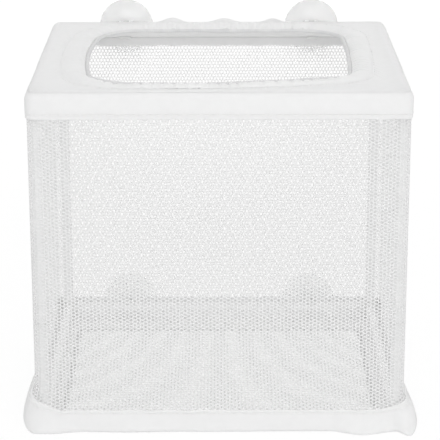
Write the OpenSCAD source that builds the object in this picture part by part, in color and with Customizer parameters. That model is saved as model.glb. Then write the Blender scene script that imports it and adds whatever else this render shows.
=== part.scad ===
// Fish breeding box: a fine net bag stretched over a knock-down frame of plastic tubes.
// Four suction cups on the back hold it to the glass of a tank.
// The box is built about its own centre, with the hem of the bag at height 0. place() then
// moves every piece to the frame of the part, whose origin is under the middle of the part.

/* [Box] */
// Width over the cloth
box_w = 155; // [120:1:260]
// Depth over the cloth
box_d = 141; // [110:1:200]
// Height of the bag, from the hem to the top of the band
box_h = 147; // [110:1:200]
// From the outer face of the cloth to the axis of a tube
frame_inset = 4.2; // [4:0.1:8]
// From the top of the bag down to the axis of the upper rails
top_rail_drop = 4.4; // [4.2:0.1:8]
// From the hem up to the axis of the lower rails
bottom_rail_rise = 6.6; // [5.5:0.1:7]

/* [Frame tubes] */
// Outer diameter of a tube
tube_d = 5; // [4:0.1:5.4]
// Wall of a tube
tube_wall = 0.8; // [0.5:0.1:1.2]
// Height at which the two halves of a post meet
post_joint_h = 48; // [35:1:70]
// Width of the ring between the two halves of a post
joiner_ring_w = 0.8; // [0.5:0.1:2]
// How far that ring stands out from the tube
joiner_ring_proud = 0.2; // [0.1:0.05:0.6]
// How far a joiner reaches into each half of a post
joiner_reach = 8; // [5:0.5:15]

/* [Corner connectors] */
// Diameter of the ball in each corner
corner_ball_d = 7; // [6:0.1:7]
// Diameter of the three collars on the ball
collar_d = 6.2; // [5.6:0.1:6.4]
// From the centre of the ball to the face of a collar
collar_reach = 4; // [3.6:0.1:4]
// How far a spigot reaches into its tube
spigot_reach = 8; // [5:0.5:15]
// Radial clearance of spigots and joiners in the tubes
plug_clearance = 0.05; // [0.02:0.01:0.1]

/* [Suction cups] */
// Diameter of a cup
cup_d = 25; // [20:0.5:30]
// Distance between the cups of a pair
cup_spacing = 87; // [60:1:110]
// From the axis of a rail to the rim of its cup
cup_reach = 13.8; // [13:0.1:18]
// Height of the bell of a cup, from its back to its rim
bell_h = 4; // [3:0.1:5]
// Thickness of a cup at its middle
cup_wall = 1.6; // [1:0.1:2.5]
// Thickness of a cup at its rim
cup_rim_t = 0.6; // [0.4:0.1:1.2]
// Width of the flat rim that seals on the glass
cup_rim_w = 0.9; // [0.5:0.1:2]
// Diameter of the neck of a cup
neck_d = 3.4; // [3:0.1:4]
// Diameter of the button behind the neck
button_d = 5.2; // [4.8:0.1:5.4]
// Thickness of the button
button_t = 1.2; // [0.8:0.1:1.4]

/* [Clips] */
// Width of a clip along its rail
clip_w = 5; // [4:0.1:8]
// Wall of the hook that snaps over the rail
clip_wall = 0.9; // [0.6:0.05:0.95]
// Angle of the hook's mouth
clip_mouth = 110; // [90:1:130]
// Radial clearance between a clip and its rail, and a neck and its clip
running_fit = 0.05; // [0.02:0.01:0.1]
// Width and height of the stem that passes through the cloth
stem_size = 2.6; // [2:0.1:3]
// From the axis of the rail to the yoke that holds the button
yoke_start = 6; // [5.9:0.1:7]
// Thickness of the yoke's plates
yoke_plate = 0.95; // [0.8:0.05:1.2]
// Room for the button between the plates
yoke_room = 1.6; // [1.5:0.1:2]
// Height of the yoke
yoke_h = 6.4; // [5:0.1:6.6]
// Width of the snap slot over the eye, for the neck
snap_slot_w = 2.6; // [2:0.1:2.9]
// How far a clip turns about its rail each way
clip_swing = 20; // [5:1:20]

/* [Net bag] */
// Thickness of the folded cloth
cloth_t = 0.4; // [0.3:0.05:0.4]
// Height of the cloth band round the top
band_h = 11.8; // [11:0.1:20]
// Radius of the rolled edge at the top of the band
band_edge_r = 4; // [3:0.1:4.2]
// Height of the cloth hem round the bottom
hem_h = 10.6; // [10.6:0.1:16]
// How far the hem turns under the floor at the front and the sides
hem_turn = 12; // [9:0.5:25]
// How far the hem turns under the floor at the back
hem_turn_back = 20; // [9:0.5:30]
// How far the loose cloth stands out at the sides, by the bottom corners
ear_reach = 4.4; // [1:0.1:9]
// From a bottom corner along the side to where the loose cloth stands out most
ear_set_back = 9; // [6:0.5:12]
// Length of hem that this takes on each side of that place
ear_spread = 10; // [8:0.5:12]
// Height of the ears' widest place
ear_h = 4.5; // [3:0.1:6]
// Thickness of the net
net_t = 0.35; // [0.25:0.05:0.4]
// Pitch of the net's cells, about, and far coarser than the woven 1.5 mm
net_pitch = 22; // [20:0.5:40]
// Width of a strand between two cells
strand_w = 1.2; // [0.8:0.1:3]
// Width of the plain edge of the net that is sewn in
net_edge = 1.5; // [1:0.1:4]

/* [Mouth] */
// Width of the mouth inside its elastic
mouth_w = 109; // [80:1:115]
// From the front of the box to the mouth
mouth_front = 15.5; // [14:0.5:30]
// From the back of the box to the mouth
mouth_back = 22; // [18:0.5:40]
// Radius of the mouth's front corners
mouth_front_r = 14; // [10:0.5:25]
// Radius of the mouth's back corners
mouth_back_r = 24; // [15:0.5:35]
// Width of the gathered strip round the mouth
gather_w = 8; // [6:0.5:9]
// Height of the roll of gathered cloth
gather_rise = 1.6; // [0.5:0.1:3]
// Depth of a fold beside the elastic
fold_h = 1; // [0.2:0.1:1.2]
// Diameter of the elastic cord in the mouth
elastic_d = 1.8; // [1.2:0.1:3]

/* [Hidden] */
$fn = 48;
EPS = 0.01;

// Half spacings and heights of the tube axes
post_x = box_w / 2 - frame_inset;
post_y = box_d / 2 - frame_inset;
top_z = box_h - top_rail_drop;
bottom_z = bottom_rail_rise;
tube_bore_d = tube_d - 2 * tube_wall;
plug_d = tube_bore_d - 2 * plug_clearance;
// Length and taper of the lead-in at a plug's tip
lead_in = 0.6;

// Distances from the rail axis along the axis of a cup
button_start = yoke_start + yoke_plate + (yoke_room - button_t) / 2;
eye_start = yoke_start + yoke_plate + yoke_room;
yoke_end = eye_start + yoke_plate;
bell_start = cup_reach - bell_h;
eye_d = neck_d + 2 * running_fit;
hook_bore_d = tube_d + 2 * running_fit;
hook_d = hook_bore_d + 2 * clip_wall;

// Sides of the yoke: clearance beside the button, wall, and the round that takes its corners off
button_clear = 0.3;
yoke_side = 0.9;
yoke_w = button_d + 2 * (button_clear + yoke_side);
yoke_round_d = yoke_w + 1;

// Roundings of a cup: the chamfers of its button, the foot of its neck, and how its two
// faces curve, from a power of 1 for a cone up
button_front_chamfer = 0.3;
button_back_chamfer = 0.2;
neck_root = 0.8;
bell_back_power = 2.2;
bell_front_power = 2.4;

// The slit in the cloth leaves the stem room to swing
slit_clear = 0.4;
slit_w = stem_size + 2 * slit_clear;
slit_h = 2 * (frame_inset * sin(clip_swing) + stem_size / 2 / cos(clip_swing) + slit_clear);
slit_depth = 3;

// Heights of the net, between the band and the hem
band_z = box_h - band_h;
net_r = frame_inset;
seam_gap = 0.02;

// Round fold at the foot of the hem, and the round at the corners of the strip turned under
hem_fold_r = 1.2;
turn_r = 0.05;
least_r = 0.4;

// Mouth of the bag
mouth_y0 = -box_d / 2 + mouth_front;
mouth_y1 = box_d / 2 - mouth_back;
mouth_z = box_h - elastic_d / 2;
panel_gap = 0.3;

// The gathered strip rises like an arch and goes past its crown before it meets the elastic
roll_turn = 160;
roll_power = 3;
fold_power = 1.5;

// Steps round each corner of an outline, and the shares of a side at which its points lie
corner_steps = 4;
side_steps = 12;
folds = corner_steps + side_steps;
function even_shares(n) = [for (i = [1:n - 1]) i / n];
panel_shares = even_shares(side_steps);
hem_across = even_shares(3);
ear_stops = [for (k = [0, 0.5, 1, 1.5, 2]) ear_set_back + (k - 1) * ear_spread - net_r];
side_length = box_d - 2 * net_r;
near_shares = [for (stop = ear_stops) if (stop > 1) stop / side_length];
far_shares = [for (i = [len(near_shares) - 1:-1:0]) 1 - near_shares[i]];
hem_along = concat(near_shares, [0.5], far_shares);

// The round corner of the mouth, drawn in flat steps, comes this much nearer to the elastic
mouth_sag = mouth_back_r * (1 - cos(45 / corner_steps));

// The ears: where each stands out most, and how steeply its cloth falls away
ear_x = box_w / 2;
ear_y = box_d / 2 - ear_set_back;
ear_power = 1.6;

// The origin of the part is under the middle of its box, at the height of its lowest point
reach_back = post_y + cup_reach;
reach_front = box_d / 2;
origin_y = (reach_back - reach_front) / 2;
lowest_z = min(0, bottom_z - cup_d / 2);

module place() {
    translate([0, -origin_y, -lowest_z]) children();
}

// Points of a closed outline with round corners, anticlockwise from the front right
function corner_points(centre, r, start, n) =
    [for (i = [0:n]) centre + r * [cos(start + 90 * i / n), sin(start + 90 * i / n)]];

function side_points(p, q, shares) = [for (share = shares) p + (q - p) * share];

function outline(w, y0, y1, front_r, back_r, across, along) =
    let (
        n = corner_steps,
        a = corner_points([w / 2 - front_r, y0 + front_r], front_r, -90, n),
        b = corner_points([w / 2 - back_r, y1 - back_r], back_r, 0, n),
        c = corner_points([back_r - w / 2, y1 - back_r], back_r, 90, n),
        d = corner_points([front_r - w / 2, y0 + front_r], front_r, 180, n)
    )
    concat(
        a, side_points(a[n], b[0], along), b, side_points(b[n], c[0], across),
        c, side_points(c[n], d[0], along), d, side_points(d[n], a[0], across)
    );

// The outline of the box, taken in by an inset
function box_outline(inset, across, along) =
    outline(
        box_w - 2 * inset, inset - box_d / 2, box_d / 2 - inset,
        max(net_r - inset, least_r), max(net_r - inset, least_r), across, along
    );

function hem_outline(inset) = box_outline(inset, hem_across, hem_along);

function at_height(points, z) = [for (p = points) [p[0], p[1], z]];

// A closed skin through loops of points that run round the box, the last joined to the first
module loop_skin(loops) {
    n = len(loops[0]);
    m = len(loops);
    points = [for (loop = loops) for (p = loop) p];
    faces = [
        for (j = [0:m - 1])
            for (i = [0:n - 1])
                let (
                    a = j * n + i,
                    b = j * n + (i + 1) % n,
                    c = ((j + 1) % m) * n + i,
                    d = ((j + 1) % m) * n + (i + 1) % n
                )
                each [[a, c, b], [b, c, d]]
    ];
    polyhedron(points, faces, convexity = 8);
}

// A tube along +Z with its bore
module tube(length) {
    difference() {
        cylinder(d = tube_d, h = length);
        translate([0, 0, -EPS]) cylinder(d = tube_bore_d, h = length + 2 * EPS);
    }
}

// A plug along +Z with a lead-in at its tip
module plug(length) {
    cylinder(d = plug_d, h = length - lead_in);
    translate([0, 0, length - lead_in - EPS])
        cylinder(d1 = plug_d, d2 = plug_d - lead_in, h = lead_in + EPS);
}

// A ball with a collar and a spigot for each of the three tubes that meet in a corner
module corner(sx, sy, z, up) {
    color("white")
    place()
    translate([sx * post_x, sy * post_y, z]) {
        sphere(d = corner_ball_d);
        for (turn = [[0, -90 * sx, 0], [90 * sy, 0, 0], [90 - 90 * up, 0, 0]]) {
            rotate(turn) {
                cylinder(d = collar_d, h = collar_reach);
                plug(collar_reach + spigot_reach);
            }
        }
    }
}

// A rail between two corners, along X or along Y
module rail_x(sy, z) {
    color("white")
    place()
    translate([collar_reach - post_x, sy * post_y, z])
        rotate([0, 90, 0])
            tube(2 * (post_x - collar_reach));
}

module rail_y(sx, z) {
    color("white")
    place()
    translate([sx * post_x, collar_reach - post_y, z])
        rotate([-90, 0, 0])
            tube(2 * (post_y - collar_reach));
}

// A post is two tubes on a joiner
module lower_post(sx, sy) {
    color("white")
    place()
    translate([sx * post_x, sy * post_y, bottom_z + collar_reach])
        tube(post_joint_h - joiner_ring_w / 2 - bottom_z - collar_reach);
}

module upper_post(sx, sy) {
    color("white")
    place()
    translate([sx * post_x, sy * post_y, post_joint_h + joiner_ring_w / 2])
        tube(top_z - collar_reach - post_joint_h - joiner_ring_w / 2);
}

module post_joiner(sx, sy) {
    ring_d = tube_d + 2 * joiner_ring_proud;
    color("white")
    place()
    translate([sx * post_x, sy * post_y, post_joint_h]) {
        translate([0, 0, -joiner_ring_w / 2]) cylinder(d = ring_d, h = joiner_ring_w);
        for (side = [0, 180]) {
            rotate([side, 0, 0]) plug(joiner_ring_w / 2 + joiner_reach);
        }
    }
}

// Places a piece of a suction cup, with its rail along X and its axis along +Y
module at_cup(sx, z) {
    place() translate([sx * cup_spacing / 2, post_y, z]) children();
}

// The section of the hook, with its mouth towards the inside of the box and round lips
module hook_section() {
    lip_r = (hook_bore_d + clip_wall) / 2;
    difference() {
        circle(d = hook_d);
        circle(d = hook_bore_d);
        polygon([
            [0, 0],
            hook_d * [-cos(clip_mouth / 2), sin(clip_mouth / 2)],
            [-2 * hook_d, 0],
            hook_d * [-cos(clip_mouth / 2), -sin(clip_mouth / 2)]
        ]);
    }
    for (side = [-1, 1]) {
        translate(lip_r * [-cos(clip_mouth / 2), side * sin(clip_mouth / 2)])
            circle(d = clip_wall, $fn = 24);
    }
}

// A clip: a hook over the rail, a stem through the cloth and a yoke for the button of the cup
module clip(sx, z) {
    color("whitesmoke")
    at_cup(sx, z) {
        rotate([90, 0, 90])
            translate([0, 0, -clip_w / 2])
                linear_extrude(clip_w) hook_section();
        stem_start = (hook_bore_d + clip_wall) / 2;
        translate([-stem_size / 2, stem_start, -stem_size / 2])
            cube([stem_size, yoke_start + yoke_plate / 2 - stem_start, stem_size]);
        translate([0, yoke_start, 0]) yoke();
    }
}

module yoke() {
    depth = yoke_end - yoke_start;
    difference() {
        rotate([-90, 0, 0]) {
            linear_extrude(depth) {
                intersection() {
                    square([yoke_w, yoke_h], center = true);
                    circle(d = yoke_round_d);
                }
            }
        }
        translate([-yoke_w / 2 + yoke_side, yoke_plate, -yoke_h])
            cube([yoke_w - 2 * yoke_side, yoke_room, 2 * yoke_h]);
        rotate([-90, 0, 0])
            translate([0, 0, yoke_plate + yoke_room / 2])
                cylinder(d = eye_d, h = depth);
        translate([-snap_slot_w / 2, yoke_plate + yoke_room / 2, 0])
            cube([snap_slot_w, depth, yoke_h]);
    }
}

// The section of a cup: radius across, distance from the rail up
function bell_back(t) = bell_start + (bell_h - cup_rim_t) * pow(t, bell_back_power);
function bell_front(t) = bell_start + cup_wall + (bell_h - cup_wall) * pow(t, bell_front_power);

module cup_section() {
    steps = 10;
    r = cup_d / 2;
    hollow_r = r - cup_rim_w;
    root = neck_d / 2 + neck_root;
    button_r = button_d / 2;
    button_end = button_start + button_t;
    polygon(concat(
        [
            [0, button_start],
            [button_r - button_front_chamfer, button_start],
            [button_r, button_start + button_front_chamfer],
            [button_r, button_end - button_back_chamfer],
            [button_r - button_back_chamfer, button_end],
            [neck_d / 2, button_end],
            [neck_d / 2, bell_start - (root - neck_d / 2) / 8]
        ],
        [for (i = [0:steps]) let (t = i / steps) [root + (r - root) * t, bell_back(t)]],
        [[r, cup_reach], [hollow_r, cup_reach]],
        [for (i = [steps - 1:-1:0]) let (t = i / steps) [hollow_r * t, bell_front(t)]]
    ));
}

// A soft suction cup: a thin bell, a neck and the button that the clip holds
module cup(sx, z) {
    color([0.93, 0.95, 0.96, 0.6])
    at_cup(sx, z)
        rotate([-90, 0, 0])
            rotate_extrude($fn = 96) cup_section();
}

// The slits at the back that the stems of a pair of clips pass through
module clip_slits(z) {
    for (sx = [-1, 1]) {
        translate([sx * cup_spacing / 2, box_d / 2, z])
            cube([slit_w, slit_depth, slit_h], center = true);
    }
}

// The cloth band round the top, with its rolled upper edge
module top_band() {
    steps = 4;
    arc_r = band_edge_r;
    edge_z = box_h - arc_r;
    outer = [
        for (i = [0:steps])
            let (a = 90 * i / steps)
            [arc_r * (1 - cos(a)), edge_z + arc_r * sin(a)]
    ];
    inner = [
        for (i = [steps:-1:0])
            let (a = 90 * i / steps)
            [arc_r - (arc_r - cloth_t) * cos(a), edge_z + (arc_r - cloth_t) * sin(a)]
    ];
    section = concat([[0, band_z]], outer, inner, [[cloth_t, band_z]]);
    color("white")
    place() {
        difference() {
            loop_skin([
                for (p = section) at_height(box_outline(p[0], [], []), p[1])
            ]);
            clip_slits(top_z);
        }
    }
}

// The top of the bag, from the band in to the mouth: flat cloth, then a gathered roll.
// t runs from 0 at the band to 1 at the mouth, and the folds deepen towards the mouth.
function panel_loop(t, under) =
    let (
        n = 4 * (corner_steps + side_steps),
        hold = elastic_d / 2 + panel_gap + mouth_sag,
        from = box_outline(band_edge_r + seam_gap, panel_shares, panel_shares),
        to = outline(
            mouth_w + elastic_d + 2 * hold, mouth_y0 - elastic_d / 2 - hold,
            mouth_y1 + elastic_d / 2 + hold,
            mouth_front_r + hold, mouth_back_r + hold, panel_shares, panel_shares
        ),
        seam = 1 - gather_w / (mouth_front - band_edge_r),
        g = max(0, (t - seam) / (1 - seam)),
        roll = gather_rise * sin(roll_turn * g) - (elastic_d / 2) * pow(g, roll_power),
        crimp = fold_h * pow(g, fold_power)
    )
    [
        for (i = [0:n - 1])
            let (p = from[i] + (to[i] - from[i]) * t)
            [p[0], p[1], box_h + roll + crimp * sin(360 * folds * i / n) - (under ? cloth_t : 0)]
    ];

module top_panel() {
    stations = [0, 0.3, 0.5, 0.72, 0.88, 1];
    last = len(stations) - 1;
    color("white")
    place()
    loop_skin(concat(
        [for (t = stations) panel_loop(t, false)],
        [for (i = [last:-1:0]) panel_loop(stations[i], true)]
    ));
}

// The elastic cord in the mouth: four straight runs and four bends
module mouth_elastic() {
    r = elastic_d / 2;
    w = mouth_w / 2 + r;
    y0 = mouth_y0 - r;
    y1 = mouth_y1 + r;
    color("gainsboro")
    place()
    translate([0, 0, mouth_z]) {
        for (sx = [-1, 1]) {
            translate([sx * (w - mouth_front_r), y0 + mouth_front_r, 0])
                rotate([0, 0, sx > 0 ? -90 : 180])
                    rotate_extrude(angle = 90) translate([mouth_front_r, 0]) circle(r = r, $fn = 16);
            translate([sx * (w - mouth_back_r), y1 - mouth_back_r, 0])
                rotate([0, 0, sx > 0 ? 0 : 90])
                    rotate_extrude(angle = 90) translate([mouth_back_r, 0]) circle(r = r, $fn = 16);
            translate([sx * w, y0 + mouth_front_r, 0])
                rotate([-90, 0, 0])
                    cylinder(r = r, h = y1 - y0 - mouth_front_r - mouth_back_r, $fn = 16);
        }
        translate([mouth_front_r - w, y0, 0])
            rotate([0, 90, 0]) cylinder(r = r, h = 2 * (w - mouth_front_r), $fn = 16);
        translate([mouth_back_r - w, y1, 0])
            rotate([0, 90, 0]) cylinder(r = r, h = 2 * (w - mouth_back_r), $fn = 16);
    }
}

// A flat net in the XY plane: staggered columns of six-sided cells that fill a plain edge.
// The cells are stretched a little so that whole ones fit across and half ones end each
// second column.
module net_sheet(w, h) {
    room_w = w - 2 * net_edge;
    room_h = h - 2 * net_edge;
    rows = round(room_h / net_pitch);
    cols = round(room_w / net_pitch / cos(30) - 1 / 3);
    step_y = room_h / rows;
    cell_w = room_w / (0.75 * (cols - 1) + 1);
    step_x = 0.75 * cell_w;
    linear_extrude(net_t) {
        difference() {
            square([w, h], center = true);
            intersection() {
                square([room_w, room_h], center = true);
                for (c = [0:cols - 1]) {
                    shift = c % 2 == 0 ? 0 : 0.5;
                    for (k = [0:rows - 1 + 2 * shift]) {
                        translate([(c - (cols - 1) / 2) * step_x, (k - (rows - 1) / 2 - shift) * step_y])
                            cell(cell_w - strand_w / cos(30), step_y - strand_w);
                    }
                }
            }
        }
    }
}

// A six-sided cell with corners at its left and right
module cell(w, h) {
    polygon([
        [w / 2, 0], [w / 4, h / 2], [-w / 4, h / 2],
        [-w / 2, 0], [-w / 4, -h / 2], [w / 4, -h / 2]
    ]);
}

// The quarter turn of net round a post
module net_bend(h) {
    rotate_extrude(angle = 90) translate([net_r - net_t, 0]) square([net_t, h]);
}

// The front and the back walls carry the net round the corners
module net_wall_x(sy) {
    h = band_z - hem_h - 2 * seam_gap;
    w = box_w - 2 * net_r;
    color([1, 1, 1, 0.5])
    place()
    translate([0, 0, hem_h + seam_gap])
    rotate([0, 0, sy > 0 ? 180 : 0]) {
        translate([0, net_t - box_d / 2, h / 2])
            rotate([90, 0, 0])
                net_sheet(w, h);
        for (sx = [-1, 1]) {
            translate([sx * w / 2, net_r - box_d / 2, 0])
                rotate([0, 0, sx > 0 ? -90 : 180])
                    net_bend(h);
        }
    }
}

module net_wall_y(sx) {
    h = band_z - hem_h - 2 * seam_gap;
    w = box_d - 2 * net_r - 2 * seam_gap;
    color([1, 1, 1, 0.5])
    place()
    translate([sx * (box_w / 2 - net_t / 2) - net_t / 2, 0, hem_h + seam_gap + h / 2])
        rotate([90, 0, 90])
            net_sheet(w, h);
}

// The floor of the bag, inside the cloth that is turned under
module net_floor() {
    y0 = hem_turn - box_d / 2 + seam_gap;
    y1 = box_d / 2 - hem_turn_back - seam_gap;
    color([1, 1, 1, 0.5])
    place()
    translate([0, (y0 + y1) / 2, 0])
        net_sheet(box_w - 2 * hem_turn - 2 * seam_gap, y1 - y0);
}

// How far the loose cloth of the hem stands out, by height and by distance from the ear
function ear_height_share(z) = z <= ear_h ? 0.75 + 0.25 * sin(90 * z / ear_h)
    : cos(90 * (z - ear_h) / (hem_h - ear_h));
function ear_share(away) = pow(max(0, 1 - away / ear_spread), ear_power);

function with_ears(points, z) =
    [
        for (p = points)
            let (
                sx = p[0] < 0 ? -1 : 1,
                sy = p[1] < 0 ? -1 : 1,
                away = norm([p[0] - sx * ear_x, p[1] - sy * ear_y]),
                pull = ear_reach * ear_share(away) * ear_height_share(z)
            )
            [p[0] + sx * pull, p[1], z]
    ];

// The cloth hem round the bottom: an upright band, ears at the corners and a strip turned under
module bottom_hem() {
    turned = outline(
        box_w - 2 * hem_turn, hem_turn - box_d / 2, box_d / 2 - hem_turn_back,
        turn_r, turn_r, hem_across, hem_along
    );
    middle_z = (ear_h + hem_h) / 2;
    fold_z = hem_fold_r + cloth_t / 2;
    color("white")
    place() {
        difference() {
            loop_skin([
                at_height(turned, cloth_t),
                at_height(turned, 0),
                at_height(hem_outline(hem_fold_r), 0),
                with_ears(hem_outline(0), hem_fold_r),
                with_ears(hem_outline(0), ear_h),
                with_ears(hem_outline(0), middle_z),
                with_ears(hem_outline(0), hem_h),
                with_ears(hem_outline(cloth_t), hem_h),
                with_ears(hem_outline(cloth_t), middle_z),
                with_ears(hem_outline(cloth_t), ear_h),
                with_ears(hem_outline(cloth_t), fold_z),
                at_height(hem_outline(fold_z), cloth_t)
            ]);
            clip_slits(bottom_z);
        }
    }
}

corner(-1, -1, top_z, -1);  // corner_top_front_left
corner(1, -1, top_z, -1);  // corner_top_front_right
corner(-1, 1, top_z, -1);  // corner_top_rear_left
corner(1, 1, top_z, -1);  // corner_top_rear_right
corner(-1, -1, bottom_z, 1);  // corner_bottom_front_left
corner(1, -1, bottom_z, 1);  // corner_bottom_front_right
corner(-1, 1, bottom_z, 1);  // corner_bottom_rear_left
corner(1, 1, bottom_z, 1);  // corner_bottom_rear_right
rail_x(-1, top_z);  // rail_top_front
rail_x(1, top_z);  // rail_top_rear
rail_y(-1, top_z);  // rail_top_left
rail_y(1, top_z);  // rail_top_right
rail_x(-1, bottom_z);  // rail_bottom_front
rail_x(1, bottom_z);  // rail_bottom_rear
rail_y(-1, bottom_z);  // rail_bottom_left
rail_y(1, bottom_z);  // rail_bottom_right
upper_post(-1, -1);  // upper_post_front_left
upper_post(1, -1);  // upper_post_front_right
upper_post(-1, 1);  // upper_post_rear_left
upper_post(1, 1);  // upper_post_rear_right
lower_post(-1, -1);  // lower_post_front_left
lower_post(1, -1);  // lower_post_front_right
lower_post(-1, 1);  // lower_post_rear_left
lower_post(1, 1);  // lower_post_rear_right
post_joiner(-1, -1);  // post_joiner_front_left
post_joiner(1, -1);  // post_joiner_front_right
post_joiner(-1, 1);  // post_joiner_rear_left
post_joiner(1, 1);  // post_joiner_rear_right
clip(-1, top_z);  // clip_top_left
clip(1, top_z);  // clip_top_right
clip(-1, bottom_z);  // clip_bottom_left
clip(1, bottom_z);  // clip_bottom_right
cup(-1, top_z);  // cup_top_left
cup(1, top_z);  // cup_top_right
cup(-1, bottom_z);  // cup_bottom_left
cup(1, bottom_z);  // cup_bottom_right
top_band();
top_panel();
mouth_elastic();
net_wall_x(-1);  // net_front
net_wall_x(1);  // net_back
net_wall_y(-1);  // net_left
net_wall_y(1);  // net_right
net_floor();
bottom_hem();
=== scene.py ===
"""Looks of a fish breeding box: its sewn net bag, its elastic and stitching, and every finish.

The tubes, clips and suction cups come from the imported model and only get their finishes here.
The bag is sewn here piece by piece, each as a sheet of its real size.

Points of the bag are in millimetres about its own centre, with the foot of the hem at height
0, x to the right and y to the back. Bag.to_frame turns them to metres in the part's frame.
"""

import logging
import math
from collections.abc import Sequence
from dataclasses import dataclass, field
from enum import Enum

import bpy
import numpy as np
from mathutils import Matrix, Vector


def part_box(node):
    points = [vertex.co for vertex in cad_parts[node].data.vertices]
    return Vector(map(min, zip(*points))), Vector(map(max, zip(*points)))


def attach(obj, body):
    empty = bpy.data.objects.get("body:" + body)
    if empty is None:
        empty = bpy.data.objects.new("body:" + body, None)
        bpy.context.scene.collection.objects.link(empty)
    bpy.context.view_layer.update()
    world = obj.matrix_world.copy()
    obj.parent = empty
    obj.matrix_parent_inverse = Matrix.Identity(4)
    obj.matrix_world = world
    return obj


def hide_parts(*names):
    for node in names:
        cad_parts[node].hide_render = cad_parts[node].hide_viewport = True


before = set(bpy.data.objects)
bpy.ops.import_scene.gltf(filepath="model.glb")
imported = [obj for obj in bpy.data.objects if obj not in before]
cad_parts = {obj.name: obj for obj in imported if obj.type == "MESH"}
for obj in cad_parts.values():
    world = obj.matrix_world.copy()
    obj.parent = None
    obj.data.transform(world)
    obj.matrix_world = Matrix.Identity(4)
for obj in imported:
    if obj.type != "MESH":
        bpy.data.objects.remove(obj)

LOG = logging.getLogger("breeding_box")
MM = 0.001
CLOUD_LOW = 0.3
CLOUD_HIGH = 0.65
LEAST_RADIUS = 0.4
NEAR_CUT = 0.4
Array = np.ndarray


class Slot(Enum):
    """Names of material slots for the sewn pieces; no piece here is given one."""

    NET = "net"
    CLOTH = "cloth"
    ELASTIC = "elastic"


class Side(Enum):
    """Walls of the bag, by the way each one faces."""

    FRONT = "front"
    BACK = "back"
    LEFT = "left"
    RIGHT = "right"


WALL_SEEDS = {Side.FRONT: 61, Side.BACK: 62, Side.LEFT: 63, Side.RIGHT: 64}
WALL_TURNS = {
    Side.FRONT: ((1, 0), (0, -1)),
    Side.BACK: ((-1, 0), (0, 1)),
    Side.RIGHT: ((0, 1), (1, 0)),
    Side.LEFT: ((0, -1), (-1, 0)),
}


# Finishes


def linear(code: str) -> tuple[float, float, float, float]:
    """Turns an sRGB hex colour to the linear values that a shader takes.

    Args:
        code: Colour as "#RRGGBB".

    Returns:
        Linear red, green and blue, with an alpha of 1.
    """
    parts = [int(code[i:i + 2], 16) / 255 for i in (1, 3, 5)]
    values = [p / 12.92 if p <= 0.04045 else ((p + 0.055) / 1.055) ** 2.4 for p in parts]
    return (*values, 1.0)


def add_node(
    tree: bpy.types.NodeTree, kind: str, settings: dict[str | int, object],
    links: dict[str | int, bpy.types.NodeSocket],
) -> bpy.types.Node:
    """Adds one node to a tree.

    Args:
        tree: The node tree.
        kind: Blender's name for the node's type.
        settings: Properties by name, and input values by the input's name or number.
        links: Sockets that feed the inputs, by the input's name or number.

    Returns:
        The new node.
    """
    node = tree.nodes.new(kind)
    for key, value in settings.items():
        if isinstance(key, str) and hasattr(node, key):
            setattr(node, key, value)
        else:
            node.inputs[key].default_value = value
    for key, socket in links.items():
        tree.links.new(socket, node.inputs[key])
    return node


@dataclass(frozen=True)
class Finish:
    """A finish as a maker names it, with the values that are the same all over the surface."""

    name: str
    colour: str
    roughness: float
    ior: float = 1.5
    sheen: float = 0.0
    coat: float = 0.0
    coat_roughness: float = 0.12
    transmission: float = 0.0
    subsurface: float = 0.0
    scatter_mm: float = 0.5

    def material(self) -> bpy.types.Material:
        """Builds the material, or returns it if it is there already.

        Returns:
            The material of this finish.
        """
        known = bpy.data.materials.get(self.name)
        if known:
            return known
        made = bpy.data.materials.new(self.name)
        made.use_nodes = True
        made.diffuse_color = linear(self.colour)
        tree = made.node_tree
        shader = tree.nodes["Principled BSDF"]
        constants = {
            "Base Color": linear(self.colour),
            "Roughness": self.roughness,
            "IOR": self.ior,
            "Sheen Weight": self.sheen,
            "Coat Weight": self.coat,
            "Coat Roughness": self.coat_roughness,
            "Transmission Weight": self.transmission,
            "Subsurface Weight": self.subsurface,
            "Subsurface Radius": (1.0, 1.0, 1.0),
            "Subsurface Scale": self.scatter_mm * MM,
        }
        for socket, value in constants.items():
            shader.inputs[socket].default_value = value
        self.detail(tree, shader)
        return made

    def detail(self, tree: bpy.types.NodeTree, shader: bpy.types.Node) -> None:
        """Adds what varies over the surface.

        Args:
            tree: The material's node tree.
            shader: Its Principled shader.
        """

    def mottle(
        self, tree: bpy.types.NodeTree, where: bpy.types.NodeSocket, grain_mm: float, darker: str
    ) -> bpy.types.NodeSocket:
        """Lets the colour drift softly between the finish's own and a darker one.

        Args:
            tree: The material's node tree.
            where: Coordinates in metres.
            grain_mm: Size of a cloud of the pattern, in millimetres.
            darker: The darker colour, as hex.

        Returns:
            The colour socket.
        """
        cloud = add_node(
            tree, "ShaderNodeTexNoise", {"Scale": 1 / (grain_mm * MM), "Detail": 3.0}, {"Vector": where}
        )
        ramp = add_node(tree, "ShaderNodeValToRGB", {}, {"Fac": cloud.outputs["Fac"]})
        ramp.color_ramp.elements[0].position = CLOUD_LOW
        ramp.color_ramp.elements[0].color = linear(darker)
        ramp.color_ramp.elements[1].position = CLOUD_HIGH
        ramp.color_ramp.elements[1].color = linear(self.colour)
        return ramp.outputs["Color"]


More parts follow.
